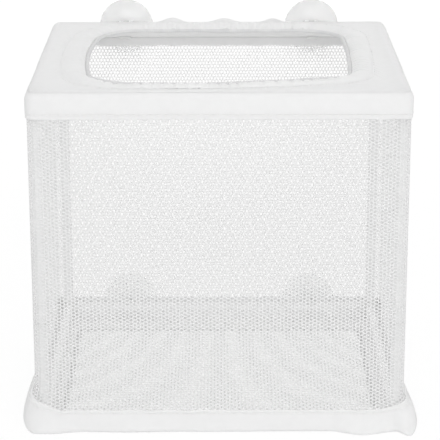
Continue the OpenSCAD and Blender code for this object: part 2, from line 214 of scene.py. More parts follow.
@dataclass(frozen=True)
class ExtrudedTube(Finish):
    """White ABS, drawn through a die: smooth, with faint lines along the tube."""

    darker: str = "#F8F8F8"
    line_mm: float = 0.35
    line_stretch: float = 200.0
    axis: int = 2
    line_depth: float = 0.003
    cloud_mm: float = 14.0

    def detail(self, tree: bpy.types.NodeTree, shader: bpy.types.Node) -> None:
        """Adds die lines along the tube's axis and a soft drift of its colour.

        Args:
            tree: The material's node tree.
            shader: Its Principled shader.
        """
        where = add_node(tree, "ShaderNodeTexCoord", {}, {}).outputs["Object"]
        scale = [1 / (self.line_mm * MM)] * 3
        scale[self.axis] /= self.line_stretch
        spread = add_node(tree, "ShaderNodeMapping", {"Scale": scale}, {"Vector": where})
        lines = add_node(
            tree, "ShaderNodeTexNoise", {"Scale": 1.0, "Detail": 2.0},
            {"Vector": spread.outputs["Vector"]},
        )
        bump = add_node(
            tree, "ShaderNodeBump", {"Strength": 0.5, "Distance": self.line_depth * MM},
            {"Height": lines.outputs["Fac"]},
        )
        tree.links.new(bump.outputs["Normal"], shader.inputs["Normal"])
        colour = self.mottle(tree, where, self.cloud_mm, self.darker)
        tree.links.new(colour, shader.inputs["Base Color"])


@dataclass(frozen=True)
class MouldedPlastic(Finish):
    """Injection moulded plastic: an even skin with the fine texture of the mould."""

    darker: str = "#EDEDEC"
    grain_mm: float = 0.4
    grain_depth: float = 0.012
    cloud_mm: float = 5.0

    def detail(self, tree: bpy.types.NodeTree, shader: bpy.types.Node) -> None:
        """Adds the mould's fine texture and a soft drift of colour from its flow.

        Args:
            tree: The material's node tree.
            shader: Its Principled shader.
        """
        where = add_node(tree, "ShaderNodeTexCoord", {}, {}).outputs["Object"]
        grain = add_node(
            tree, "ShaderNodeTexNoise", {"Scale": 1 / (self.grain_mm * MM), "Detail": 4.0},
            {"Vector": where},
        )
        bump = add_node(
            tree, "ShaderNodeBump", {"Strength": 0.6, "Distance": self.grain_depth * MM},
            {"Height": grain.outputs["Fac"]},
        )
        tree.links.new(bump.outputs["Normal"], shader.inputs["Normal"])
        colour = self.mottle(tree, where, self.cloud_mm, self.darker)
        tree.links.new(colour, shader.inputs["Base Color"])


@dataclass(frozen=True)
class SoftVinyl(Finish):
    """Soft clear PVC of a suction cup: milky, glossy, with faint flow marks."""

    darker: str = "#E4E7E7"
    flow_mm: float = 6.0
    flow_depth: float = 0.03

    def detail(self, tree: bpy.types.NodeTree, shader: bpy.types.Node) -> None:
        """Adds shallow flow marks and the milky drift of the plasticiser.

        Args:
            tree: The material's node tree.
            shader: Its Principled shader.
        """
        where = add_node(tree, "ShaderNodeTexCoord", {}, {}).outputs["Object"]
        flow = add_node(
            tree, "ShaderNodeTexNoise", {"Scale": 1 / (self.flow_mm * MM), "Detail": 2.0},
            {"Vector": where},
        )
        bump = add_node(
            tree, "ShaderNodeBump", {"Strength": 0.4, "Distance": self.flow_depth * MM},
            {"Height": flow.outputs["Fac"]},
        )
        tree.links.new(bump.outputs["Normal"], shader.inputs["Normal"])
        colour = self.mottle(tree, where, self.flow_mm, self.darker)
        tree.links.new(colour, shader.inputs["Base Color"])


@dataclass(frozen=True)
class WovenCloth(Finish):
    """Plain woven polyester: warp and weft go over and under, which scatters the light."""

    darker: str = "#E6E6E6"
    thread_mm: float = 0.42
    thread_depth: float = 0.02
    slub_mm: float = 3.5

    def detail(self, tree: bpy.types.NodeTree, shader: bpy.types.Node) -> None:
        """Adds the weave along the sheet's own UV map, in metres, and uneven threads.

        The real threads are 0.15 mm apart, and they are drawn coarser, to show.

        Args:
            tree: The material's node tree.
            shader: Its Principled shader.
        """
        coordinates = add_node(tree, "ShaderNodeTexCoord", {}, {})
        threads = add_node(tree, "ShaderNodeSeparateXYZ", {}, {"Vector": coordinates.outputs["UV"]})
        turns = math.pi / (self.thread_mm * MM)
        waves = []
        for axis in ("X", "Y"):
            angle = add_node(
                tree, "ShaderNodeMath", {"operation": "MULTIPLY", 1: turns}, {0: threads.outputs[axis]}
            )
            waves.append(add_node(tree, "ShaderNodeMath", {"operation": "SINE"}, {0: angle.outputs[0]}))
        weave = add_node(
            tree, "ShaderNodeMath", {"operation": "MULTIPLY"},
            {0: waves[0].outputs[0], 1: waves[1].outputs[0]},
        )
        slub = add_node(
            tree, "ShaderNodeTexNoise", {"Scale": 1 / (self.slub_mm * MM), "Detail": 3.0},
            {"Vector": coordinates.outputs["Object"]},
        )
        height = add_node(
            tree, "ShaderNodeMath", {"operation": "MULTIPLY_ADD", 1: 0.5},
            {0: weave.outputs[0], 2: slub.outputs["Fac"]},
        )
        bump = add_node(
            tree, "ShaderNodeBump", {"Strength": 0.5, "Distance": self.thread_depth * MM},
            {"Height": height.outputs[0]},
        )
        tree.links.new(bump.outputs["Normal"], shader.inputs["Normal"])
        colour = self.mottle(tree, coordinates.outputs["Object"], self.slub_mm, self.darker)
        tree.links.new(colour, shader.inputs["Base Color"])


@dataclass(frozen=True)
class KnittedYarn(Finish):
    """Fine polyester yarn, knitted or twisted: soft, slightly shiny along its filaments."""

    darker: str = "#E2E2E2"
    twist_mm: float = 0.5
    twist_depth: float = 0.03
    cloud_mm: float = 4.0

    def detail(self, tree: bpy.types.NodeTree, shader: bpy.types.Node) -> None:
        """Adds the relief of the yarn's filaments and its uneven white.

        Args:
            tree: The material's node tree.
            shader: Its Principled shader.
        """
        where = add_node(tree, "ShaderNodeTexCoord", {}, {}).outputs["Object"]
        filament = add_node(
            tree, "ShaderNodeTexNoise", {"Scale": 1 / (self.twist_mm * MM), "Detail": 2.0},
            {"Vector": where},
        )
        bump = add_node(
            tree, "ShaderNodeBump", {"Strength": 0.5, "Distance": self.twist_depth * MM},
            {"Height": filament.outputs["Fac"]},
        )
        tree.links.new(bump.outputs["Normal"], shader.inputs["Normal"])
        colour = self.mottle(tree, where, self.cloud_mm, self.darker)
        tree.links.new(colour, shader.inputs["Base Color"])


# Extruded ABS with a glossy coat; its white is set a shade brighter than the rails' same tube, painted
# light for uprights that stand in the net's shade.
POST_TUBE = ExtrudedTube("extruded_white_abs_upright", "#FEFEFE", 0.3, coat=0.6)
# The same tube on the rails, in its own white and without the coat.
RAIL_X_TUBE = ExtrudedTube("extruded_white_abs_across", "#FCFCFC", 0.3, axis=0)
RAIL_Y_TUBE = ExtrudedTube("extruded_white_abs_along", "#FCFCFC", 0.3, axis=1)
# Injection moulded ABS: an even satin white, less glossy than the tube.
CONNECTOR = MouldedPlastic("moulded_white_abs", "#F4F4F3", 0.38)
# Natural polypropylene: waxy, with a little light in its thin edges.
CLIP_PLASTIC = MouldedPlastic(
    "moulded_natural_polypropylene", "#F0F1F0", 0.33, subsurface=0.3, scatter_mm=1.0
)
# Soft clear PVC: wet gloss over a milky body, which is lightest where it is thin.
CUP_VINYL = SoftVinyl(
    "moulded_soft_clear_pvc", "#FEFEFE", 0.14, ior=1.53, transmission=0.5, subsurface=0.5,
    scatter_mm=2.0, darker="#FBFBFB",
)
# Woven polyester of the top: matt white, softened by light that passes between its threads.
TOP_CLOTH = WovenCloth(
    "woven_white_polyester_cloth", "#F9F9F9", 0.8, subsurface=1.0, scatter_mm=0.4, darker="#F7F7F7"
)
# Band and hem: the same weave as the top, matt and firm, in a white a shade greyer than the top's,
# partly for their denser double cloth and partly as painted shade that tunes their brightness against
# the top.
BINDING = WovenCloth(
    "woven_white_polyester_binding", "#F5F5F5", 0.8, subsurface=1.0, scatter_mm=0.15, darker="#F3F3F3"
)
# Inner face of the same cloth in a brighter white than its outer face: painted light that lifts the
# shaded inside of the bag.
LIT_REVERSE = WovenCloth(
    "woven_white_polyester_reverse_painted_light", "#FEFEFE", 0.8, subsurface=1.0, scatter_mm=0.3, darker="#FCFCFC"
)
# Knitted polyester yarn: soft white strands that let light through the thin wall.
NET_YARN = KnittedYarn(
    "knitted_white_polyester_net", "#F5F5F5", 0.6, subsurface=1.0, scatter_mm=0.35, darker="#F3F3F3"
)
# Twisted polyester thread: fine white stitches, told only by the shadow beside them.
THREAD = KnittedYarn(
    "twisted_white_sewing_thread", "#FCFCFC", 0.6, subsurface=1.0, scatter_mm=0.3, darker="#F8F8F8"
)
# Elastic cord in a light grey: partly the cord's own grey, partly painted shade for the dark line along
# the mouth's edge.
ELASTIC_YARN = KnittedYarn(
    "grey_elastic_painted_shade", "#EEEEEE", 0.7, sheen=0.1, darker="#E4E4E5"
)
FINISHES = {
    "rail_": RAIL_Y_TUBE,
    "upper_post": POST_TUBE,
    "lower_post": POST_TUBE,
    "post_joiner": CONNECTOR,
    "corner_": CONNECTOR,
    "clip_": CLIP_PLASTIC,
    "cup_": CUP_VINYL,
}


# The bag's sizes and outlines


@dataclass(frozen=True)
class Loop:
    """A closed outline of four straight sides and round corners, anticlockwise from above.

    The corners are front left, front right, back right and back left.
    """

    corners: tuple[tuple[float, float], ...]
    radii: tuple[float, ...]

    def trace(self, stops: Sequence[Array], arc_steps: int) -> tuple[Array, Array]:
        """Walks the outline from the front left corner.

        Args:
            stops: Shares of each side, front, right, back and left, at which points lie.
            arc_steps: Steps in each corner.

        Returns:
            Points and outward normals, one row each.
        """
        at = np.array(self.corners, float)
        run = np.roll(at, -1, axis=0) - at
        run /= np.linalg.norm(run, axis=1)[:, None]
        out = np.stack([run[:, 1], -run[:, 0]], axis=1)
        starts, ends, arcs = [], [], []
        for k in range(4):
            before, after = run[k - 1], run[k]
            half_turn = math.acos(float(np.clip(before @ after, -1, 1))) / 2
            reach = self.radii[k] * math.tan(half_turn)
            centre = at[k] - before * reach - out[k - 1] * self.radii[k]
            first = math.atan2(out[k - 1][1], out[k - 1][0])
            angles = first + np.linspace(0, 2 * half_turn, arc_steps + 1)
            normals = np.stack([np.cos(angles), np.sin(angles)], axis=1)
            arcs.append((centre + self.radii[k] * normals, normals))
            starts.append(at[k] + after * reach)
            ends.append(at[k] - before * reach)
        points, normals = [], []
        for k in range(4):
            share = np.asarray(stops[k], float)[:, None]
            a, b = starts[k], ends[(k + 1) % 4]
            points += [arcs[k][0], a + (b - a) * share]
            normals += [arcs[k][1], np.repeat(out[k][None], len(share), axis=0)]
        return np.concatenate(points), np.concatenate(normals)


@dataclass(frozen=True)
class Bag:
    """Driving sizes of the bag in millimetres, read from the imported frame."""

    width: float
    depth: float
    height: float
    band_foot: float
    hem_top: float
    corner_r: float
    top_rail: float
    bottom_rail: float
    stem_x: float
    mouth_height: float
    elastic_d: float
    floor_x: float
    floor_front: float
    floor_back: float
    cup_rim: float
    cup_low: float
    origin: tuple[float, float, float]

    @classmethod
    def measured(cls) -> "Bag":
        """Reads the sizes from the frame's boxes.

        Returns:
            The bag's sizes.
        """
        band_low, band_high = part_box("top_band")
        hem_low, hem_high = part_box("bottom_hem")
        post_low, post_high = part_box("upper_post_front_right")
        rail_low, rail_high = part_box("rail_top_front")
        foot_low, foot_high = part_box("rail_bottom_front")
        clip_low, clip_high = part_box("clip_top_right")
        cord_low, cord_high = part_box("mouth_elastic")
        floor_low, floor_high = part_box("net_floor")
        cup_low, cup_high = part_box("cup_bottom_right")
        middle_y = (band_low.y + band_high.y) / 2
        foot = hem_low.z
        inset = band_high.x - (post_low.x + post_high.x) / 2
        return cls(
            width=(band_high.x - band_low.x) / MM,
            depth=(band_high.y - band_low.y) / MM,
            height=(band_high.z - foot) / MM,
            band_foot=(band_low.z - foot) / MM,
            hem_top=(hem_high.z - foot) / MM,
            corner_r=inset / MM,
            top_rail=((rail_low.z + rail_high.z) / 2 - foot) / MM,
            bottom_rail=((foot_low.z + foot_high.z) / 2 - foot) / MM,
            stem_x=(clip_low.x + clip_high.x) / 2 / MM,
            mouth_height=((cord_low.z + cord_high.z) / 2 - foot) / MM,
            elastic_d=(cord_high.z - cord_low.z) / MM,
            floor_x=floor_high.x / MM,
            floor_front=(floor_low.y - middle_y) / MM,
            floor_back=(floor_high.y - middle_y) / MM,
            cup_rim=(cup_high.y - middle_y) / MM,
            cup_low=(cup_low.z - foot) / MM,
            origin=(0.0, middle_y, foot),
        )

    def to_frame(self, points: Array) -> Array:
        """Turns bag millimetres to metres in the part's frame."""
        return np.asarray(points, float) * MM + np.array(self.origin)

    def outline(self, inset: float) -> Loop:
        """The box's outline, taken in evenly.

        Args:
            inset: How far it is taken in, in millimetres.

        Returns:
            The outline.
        """
        x, y = self.width / 2 - inset, self.depth / 2 - inset
        radius = max(self.corner_r - inset, LEAST_RADIUS)
        return Loop(((-x, -y), (x, -y), (x, y), (-x, y)), (radius,) * 4)


@dataclass(frozen=True)
class Ripple:
    """A smooth random wave that closes on itself, as hand-sewn cloth has along a seam."""

    seed: int
    lowest: int
    highest: int
    peak: float = 1.4

    def along(self, share: Array) -> Array:
        """The wave's height.

        Args:
            share: Places round the loop, from 0 to 1.

        Returns:
            Heights of about -1 to 1.
        """
        rng = np.random.default_rng(self.seed)
        total = np.zeros_like(share, dtype=float)
        for turns in range(self.lowest, self.highest + 1):
            total += rng.normal() * np.sin(2 * math.pi * (turns * share + rng.random()))
        return total / math.sqrt(self.highest - self.lowest + 1) / self.peak


def ramp(x: Array, start: float, run: float) -> Array:
    """Rises evenly from 0 at its start to 1 a run further on."""
    return np.clip((x - start) / run, 0, 1)


def bell(x: Array, centre: float, half_width: float) -> Array:
    """A smooth bump of height 1 that ends at half_width from its centre."""
    return np.cos(np.clip((x - centre) / half_width, -1, 1) * math.pi / 2) ** 2


@dataclass(frozen=True)
class Ear:
    """Loose cloth that stands out sideways beside a bottom corner.

    It is strongest at tip_y, ends within near and far of it, is widest up to a height, and is
    gone at its top. Cover says how far it also draws the hem up the wall.
    """

    side: int
    end: int
    reach: float
    tip_y: float
    near: float
    far: float
    widest: float
    top: float
    cover: float = 0.0
    wall_from: float = 66.0
    wall_run: float = 8.0
    near_power: float = 3.0
    far_power: float = 1.6
    rise_power: float = 1.8

    def window(self, points: Array) -> Array:
        """How much of the ear is at these points.

        Args:
            points: Bag points.

        Returns:
            Shares from 0 beside the ear to 1 at its tip.
        """
        along = self.end * points[:, 1]
        tip = self.end * self.tip_y
        gone = np.where(along > tip, (along - tip) / self.near, (tip - along) / self.far)
        across = 1 - np.clip(gone, 0, 1) ** np.where(along > tip, self.near_power, self.far_power)
        return across * ramp(self.side * points[:, 0], self.wall_from, self.wall_run)

    def pull(self, points: Array) -> Array:
        """How far the cloth at these points stands out sideways.

        Args:
            points: Bag points.

        Returns:
            Outward shifts along x, with their sign.
        """
        rise = ramp(points[:, 2], self.widest, self.top - self.widest)
        return self.side * self.reach * self.window(points) * (1 - rise ** self.rise_power)


@dataclass(frozen=True)
class Bulge:
    """Slack in the front of the hem, which leans forward and hangs a little."""

    centre: float
    half_width: float
    forward: float
    droop: float
    wall_from: float = 62.0
    wall_run: float = 6.0
    rise_power: float = 1.3

    def shift(self, points: Array, hem_top: float) -> Array:
        """How far the hem moves at these points.

        Args:
            points: Bag points.
            hem_top: Height of the hem.

        Returns:
            Shifts along x, y and z.
        """
        low = np.clip(1 - points[:, 2] / hem_top, 0, 1) ** self.rise_power
        front = ramp(-points[:, 1], self.wall_from, self.wall_run)
        amount = bell(points[:, 0], self.centre, self.half_width) * low * front
        moved = np.zeros_like(points)
        moved[:, 1] = -self.forward * amount
        moved[:, 2] = -self.droop * amount
        return moved


@dataclass(frozen=True)
class Drape:
    """How the slack cloth of the bag's foot stands away from the frame."""

    ears: tuple[Ear, ...] = (
        Ear(-1, -1, 5.6, -57.0, 15.0, 34.0, 2.0, 21.0, 0.95),
        Ear(1, -1, 5.9, -61.0, 11.5, 30.0, 1.0, 16.5, 0.5),
        Ear(-1, 1, 3.4, 61.0, 11.0, 24.0, 2.0, 15.0),
        Ear(1, 1, 3.0, 60.0, 11.0, 22.0, 2.0, 14.0),
    )
    bulges: tuple[Bulge, ...] = (
        Bulge(60.0, 14.0, 3.6, 0.5),
        Bulge(75.5, 4.6, 5.2, 0.7),
        Bulge(-72.0, 16.0, 2.2, 0.3),
        Bulge(-38.0, 26.0, 0.9, 0.0),
        Bulge(0.0, 30.0, 0.4, 0.0),
    )

    def raised(self, points: Array) -> Array:
        """Draws the hem's cloth up the wall where it stands out in an ear.

        Args:
            points: Bag points of the hem.

        Returns:
            The raised points.
        """
        result = points.copy()
        for ear in self.ears:
            result[:, 2] *= 1 + ear.cover * ear.window(points)
        return result

    def moved(self, points: Array, bag: Bag) -> Array:
        """Moves bag points as the slack cloth goes.

        Args:
            points: Bag points on or near the walls.
            bag: The bag's sizes.

        Returns:
            The moved points.
        """
        result = points.copy()
        for ear in self.ears:
            result[:, 0] += ear.pull(points)
        for bulge in self.bulges:
            result += bulge.shift(points, bag.hem_top)
        return result


# Meshes


@dataclass
class Piece:
    """A mesh in the making: points of the bag, faces and a UV for each face corner."""

    name: str
    points: Array
    faces: Array
    uv: Array | None = None
    triangles: Array | None = None

    def build(self, bag: Bag, finish: Finish, smooth: bool = True) -> bpy.types.Object:
        """Makes the Blender object, with its place in its mesh.

        Args:
            bag: The bag's sizes.
            finish: The finish of the piece.
            smooth: Whether its faces shade into each other.

        Returns:
            The object.
        """
        mesh = bpy.data.meshes.new(self.name)
        quads = [tuple(f) for f in self.faces.tolist()]
        extra = [] if self.triangles is None else [tuple(f) for f in self.triangles.tolist()]
        mesh.from_pydata(bag.to_frame(self.points).tolist(), [], quads + extra)
        if self.uv is not None:
            layer = mesh.uv_layers.new(name="cut")
            layer.data.foreach_set("uv", (self.uv * MM).astype(np.float32).ravel())
        mesh.polygons.foreach_set("use_smooth", np.full(len(mesh.polygons), smooth))
        mesh.materials.append(finish.material())
        mesh.update()
        made = bpy.data.objects.new(self.name, mesh)
        bpy.context.scene.collection.objects.link(made)
        return made


def grid(rows: Array, along: Array, skip: Array | None = None) -> tuple[Array, Array]:
    """Faces and UV of a band of cloth that runs round and closes on itself.

    Args:
        rows: Place of each row across the cloth, in millimetres.
        along: Place of each column along the cloth, with one more at its end.
        skip: True for each quad that is cut out, by row and column.

    Returns:
        Quads, and their UV by face corner.
    """
    count = len(along) - 1
    r, c = np.meshgrid(np.arange(len(rows) - 1), np.arange(count), indexing="ij")
    nxt = (c + 1) % count
    faces = np.stack([r * count + c, r * count + nxt, (r + 1) * count + nxt, (r + 1) * count + c], -1)
    u = np.stack([along[c], along[c + 1], along[c + 1], along[c]], -1)
    v = np.stack([rows[r], rows[r], rows[r + 1], rows[r + 1]], -1)
    keep = np.ones(r.shape, bool) if skip is None else ~skip
    return faces[keep], np.stack([u, v], -1)[keep].reshape(-1, 2)


def solidified(piece: bpy.types.Object, thickness_mm: float) -> bpy.types.Object:
    """Gives a sheet its thickness, towards the inside, with the reverse there in a whiter colour:
    painted light on the shaded inner face.

    Args:
        piece: The sheet.
        thickness_mm: Its thickness in millimetres.

    Returns:
        The same piece.
    """
    piece.data.materials.append(LIT_REVERSE.material())
    bpy.ops.object.select_all(action="DESELECT")
    piece.select_set(True)
    bpy.context.view_layer.objects.active = piece
    wall = piece.modifiers.new("thickness", "SOLIDIFY")
    wall.thickness = thickness_mm * MM
    wall.offset = -1
    wall.material_offset = 1
    wall.use_even_offset = False
    bpy.ops.object.modifier_apply(modifier=wall.name)
    return piece


def lengths_along(points: Array) -> Array:
    """Length from the first point to each next one, closed back to the first."""
    steps = np.linalg.norm(np.roll(points, -1, axis=0) - points, axis=1)
    return np.concatenate([[0], np.cumsum(steps)])


def path_lengths(points: Array) -> Array:
    """Length from the first point to each point of an open path."""
    steps = np.linalg.norm(np.diff(points, axis=0), axis=1)
    return np.concatenate([[0], np.cumsum(steps)])


def even_stops(length: float, spacing: float, cuts: Sequence[float] = ()) -> Array:
    """Shares of a side at which points lie: about evenly, and exactly at the cuts.

    Args:
        length: Length of the side.
        spacing: Spacing of the points.
        cuts: Places that need a point of their own, from the side's start.

    Returns:
        Rising shares between 0 and 1.
    """
    count = max(2, round(length / spacing))
    places = [length * i / count for i in range(1, count)]
    near = spacing * NEAR_CUT
    places = [p for p in places if all(abs(p - cut) > near for cut in cuts)]
    return np.array(sorted(places + list(cuts))) / length


@dataclass(frozen=True)
class Slits:
    """The two slits at the back of a band that the stems of a pair of clips pass through.

    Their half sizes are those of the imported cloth, which has no box of its own for a slit.
    """

    centre_x: float
    height: float
    half_width: float = 1.7
    half_height: float = 3.2

    def cuts(self) -> list[float]:
        """The x of each slit's edges."""
        return [s * self.centre_x + e * self.half_width for s in (-1, 1) for e in (-1, 1)]

    def open_at(self, points: Array) -> Array:
        """Tells which points lie in a slit.

        Args:
            points: Bag points.

        Returns:
            True where the cloth is cut away.
        """
        across = np.abs(np.abs(points[..., 0]) - self.centre_x) < self.half_width
        level = np.abs(points[..., 2] - self.height) < self.half_height
        return across & level & (points[..., 1] > 0)

    def cut_quads(self, rows: Array) -> Array:
        """Tells which quads of a sheet have their middle in a slit.

        Args:
            rows: Points of the sheet, by row and column.

        Returns:
            True for each quad that is cut away.
        """
        middle = (rows[:-1] + rows[1:]) / 2
        return self.open_at((middle + np.roll(middle, -1, axis=1)) / 2)

    def beside(self, points: Array, reach: float) -> Array:
        """Tells which points at the back lie within a reach of a slit, sideways."""
        across = np.abs(np.abs(points[..., 0]) - self.centre_x) < self.half_width + reach
        return across & (points[..., 1] > 0)


@dataclass
class Seam:
    """A row of stitches on the cloth: where it runs and which way it faces."""

    points: Array
    normals: Array
    slits: Slits | None = None


@dataclass
class BandBuilder:
    """Shared work of the cloth bands that run round the box."""

    bag: Bag
    drape: Drape
    spacing: float = 1.0
    arc_steps: int = 8
    thickness: float = 0.25

    def side_stops(self, slits: Slits | None) -> list[Array]:
        """Shares of the four sides at which points lie, with stops at the slits.

        Args:
            slits: The slits at the back, or None.

        Returns:
            Shares for the front, right, back and left side.
        """
        bag = self.bag
        wide = bag.width - 2 * bag.corner_r
        deep = bag.depth - 2 * bag.corner_r
        cuts = [] if slits is None else [wide / 2 - x for x in slits.cuts()]
        return [
            even_stops(wide, self.spacing), even_stops(deep, self.spacing),
            even_stops(wide, self.spacing, cuts), even_stops(deep, self.spacing),
        ]

    def loop_rows(self, section: Array, stops: Sequence[Array]) -> tuple[Array, Array]:
        """Rows of points round the box, one for each inset and height of a section.

        Args:
            section: Insets and heights, one row each.
            stops: Shares of the four sides.

        Returns:
            Points as rows by columns by 3, and the outward normals of the columns.
        """
        rows = []
        outward = None
        for inset, z in section:
            flat, normals = self.bag.outline(max(inset, 0.0)).trace(stops, self.arc_steps)
            if outward is None:
                outward = normals
            if inset < 0:
                flat = flat - normals * inset
            rows.append(np.column_stack([flat, np.full(len(flat), z)]))
        return np.stack(rows), outward


def arc_section(
    centre: tuple[float, float], radius: float, start: float, end: float, steps: int
) -> Array:
    """Insets and heights along an arc of a section.

    Args:
        centre: Inset and height of its middle.
        radius: Its radius.
        start: Its first angle, in degrees from the outside up.
        end: Its last angle.
        steps: Steps along it, or 0 for the first point alone.

    Returns:
        Insets and heights, one row each.
    """
    angles = np.radians(np.linspace(start, end, steps + 1))
    return np.column_stack([centre[0] - radius * np.cos(angles), centre[1] + radius * np.sin(angles)])


@dataclass(frozen=True)
class Puckers:
    """Little hills in the rolled edge at the back, where the cloth bunches over the rail."""

    centres: tuple[float, ...] = (-21.6, 2.3, 24.9)
    heights: tuple[float, ...] = (2.1, 1.8, 1.7)
    half_widths: tuple[float, ...] = (8.0, 8.5, 6.5)
    from_edge: float = 3.2
    reach: float = 4.6

    def lift(self, points: Array, depth: float) -> Array:
        """How much higher the cloth lies at these points.

        Args:
            points: Bag points.
            depth: Depth of the bag.

        Returns:
            Lift along z.
        """
        near_edge = bell(points[..., 1], depth / 2 - self.from_edge, self.reach)
        total = np.zeros(points.shape[:-1])
        for centre, height, half in zip(self.centres, self.heights, self.half_widths):
            total += height * bell(points[..., 0], centre, half)
        return total * near_edge


@dataclass
class TopBand(BandBuilder):
    """The cloth band round the top: folded up inside at its foot, rolled over the rail above."""

    roll_r: float = 4.0
    crease_angle: float = 50.0
    tuck: float = 0.15
    fold_gap: float = 0.75
    turn_up: float = 4.0
    seam_rise: float = 2.1
    wave: float = 0.22
    quick_wave: float = 0.03
    foot_wave: float = 0.12
    foot_rows: float = 0.6
    share_row: int = 5
    wall_rows_from: int = 10
    puckers: Puckers = field(default_factory=Puckers)

    def slits(self) -> Slits:
        """The slits for the upper clips."""
        return Slits(self.bag.stem_x, self.bag.top_rail)

    def roll_centre(self) -> tuple[float, float]:
        """Inset and height of the middle of the rolled edge."""
        return (self.roll_r, self.bag.height - self.roll_r)

    def section(self) -> Array:
        """The band's section, from the turned-up edge inside, round the foot, to the crease.

        Returns:
            Insets and heights, one row each.
        """
        foot = self.bag.band_foot
        fold_r = self.fold_gap / 2
        turned = np.linspace(foot + self.turn_up, foot + 1, 4)
        inner = np.column_stack([np.full(len(turned), self.fold_gap), turned])
        fold = arc_section((fold_r, foot + fold_r), fold_r, 180, 360, 6)
        centre = self.roll_centre()
        slit_low = self.bag.top_rail - self.slits().half_height
        slit_high = self.bag.top_rail + self.slits().half_height
        levels = np.concatenate([
            np.linspace(foot + 1, slit_low, 4), np.linspace(slit_low + 1.2, centre[1], 4)
        ])
        outer = np.column_stack([np.zeros(len(levels)), levels])
        slit_angle = math.degrees(math.asin((slit_high - centre[1]) / self.roll_r))
        arc = np.concatenate([
            arc_section(centre, self.roll_r, 8, slit_angle, 5),
            arc_section(centre, self.roll_r, slit_angle + 2.5, self.crease_angle, 1),
        ])
        last = self.crease_angle + 1
        tucked = arc_section(centre, self.roll_r - self.tuck, last, last, 0)
        return np.concatenate([inner, fold, outer, arc, tucked])

    def build(self) -> tuple[bpy.types.Object, list[Seam]]:
        """Makes the band and the seam above its foot.

        Returns:
            The band and its seams.
        """
        bag = self.bag
        section = self.section()
        stops = self.side_stops(self.slits())
        rows, outward = self.loop_rows(section, stops)
        around = lengths_along(rows[self.share_row])
        self.ruffle_rows(rows, outward, around[:-1] / around[-1], section)
        around = lengths_along(rows[self.share_row])
        across = path_lengths(section)
        faces, uv = grid(across, around, self.slits().cut_quads(rows))
        made = Piece("band_cloth", rows.reshape(-1, 3), faces, uv).build(bag, BINDING)
        solidified(made, self.thickness)
        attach(made, "box")
        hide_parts("top_band")
        level = bag.band_foot + self.seam_rise
        first = self.wall_rows_from
        row = int(np.argmin(np.abs(section[first:, 1] - level))) + first
        seam = rows[row].copy()
        seam[:, 2] += level - section[row, 1]
        return made, [Seam(seam, np.column_stack([outward, np.zeros(len(outward))]))]

    def slow_wave(self, share: Array) -> Array:
        """Soft wave of the cloth round the box, about 0 to 1."""
        return 0.5 + 0.5 * Ripple(11, 5, 14).along(share)

    def ruffle_rows(self, rows: Array, outward: Array, share: Array, section: Array) -> None:
        """Adds the soft waves of the cloth, outward, and the puckers at the back.

        Args:
            rows: Points by row and column, changed in place.
            outward: Normals of the columns.
            share: Place of each column round the box, from 0 to 1.
            section: Inset and height of each row.
        """
        slow = self.slow_wave(share)
        quick = Ripple(12, 30, 60).along(share)
        foot = self.bag.band_foot
        for index, (_, z) in enumerate(section):
            up = ramp(z, foot, self.bag.height - foot)
            level = np.sin(math.pi * np.clip(up, 0, 0.9))
            wave = self.wave * slow * (0.15 + level) + self.quick_wave * quick * (1 - up)
            rows[index, :, :2] += outward * wave[:, None]
            rows[index, :, 2] += self.puckers.lift(rows[index], self.bag.depth) * up ** 3
            if z < foot + self.foot_rows:
                rows[index, :, 2] += self.foot_wave * quick


@dataclass(frozen=True)
class Gathers:
    """Folds of the gathered strip: sharp and uneven main ones, and finer ones between.

    A fold strays along the mouth by a share of its width, its size varies about a mean between
    a least and a most, and a second wave at twice the rate makes one flank steeper.
    """

    folds: int = 88
    stray: float = 0.55
    mean: float = 0.78
    spread: float = 0.42
    least: float = 0.25
    most: float = 1.35
    skew: float = 0.28
    skew_turn: float = 1.1
    peak: float = 1.15
    fine_rate: float = 2.6
    fine_drift: float = 3.0
    fine_mean: float = 0.6
    fine_spread: float = 0.4

    def along(self, share: Array) -> tuple[Array, Array]:
        """Heights of the folds round the mouth.

        Args:
            share: Places round the mouth, from 0 to 1.

        Returns:
            Heights of the main folds and of the fine ones, about -1 to 1.
        """
        warp = self.stray * Ripple(21, 3, 24).along(share) / self.folds
        varied = self.mean + self.spread * Ripple(22, 8, 40).along(share)
        size = np.clip(varied, self.least, self.most)
        phase = 2 * math.pi * self.folds * (share + warp)
        main = size * (np.sin(phase) + self.skew * np.sin(2 * phase + self.skew_turn)) / self.peak
        fine = np.sin(self.fine_rate * phase + self.fine_drift * Ripple(23, 5, 18).along(share))
        return main, fine * (self.fine_mean + self.fine_spread * Ripple(24, 9, 30).along(share))


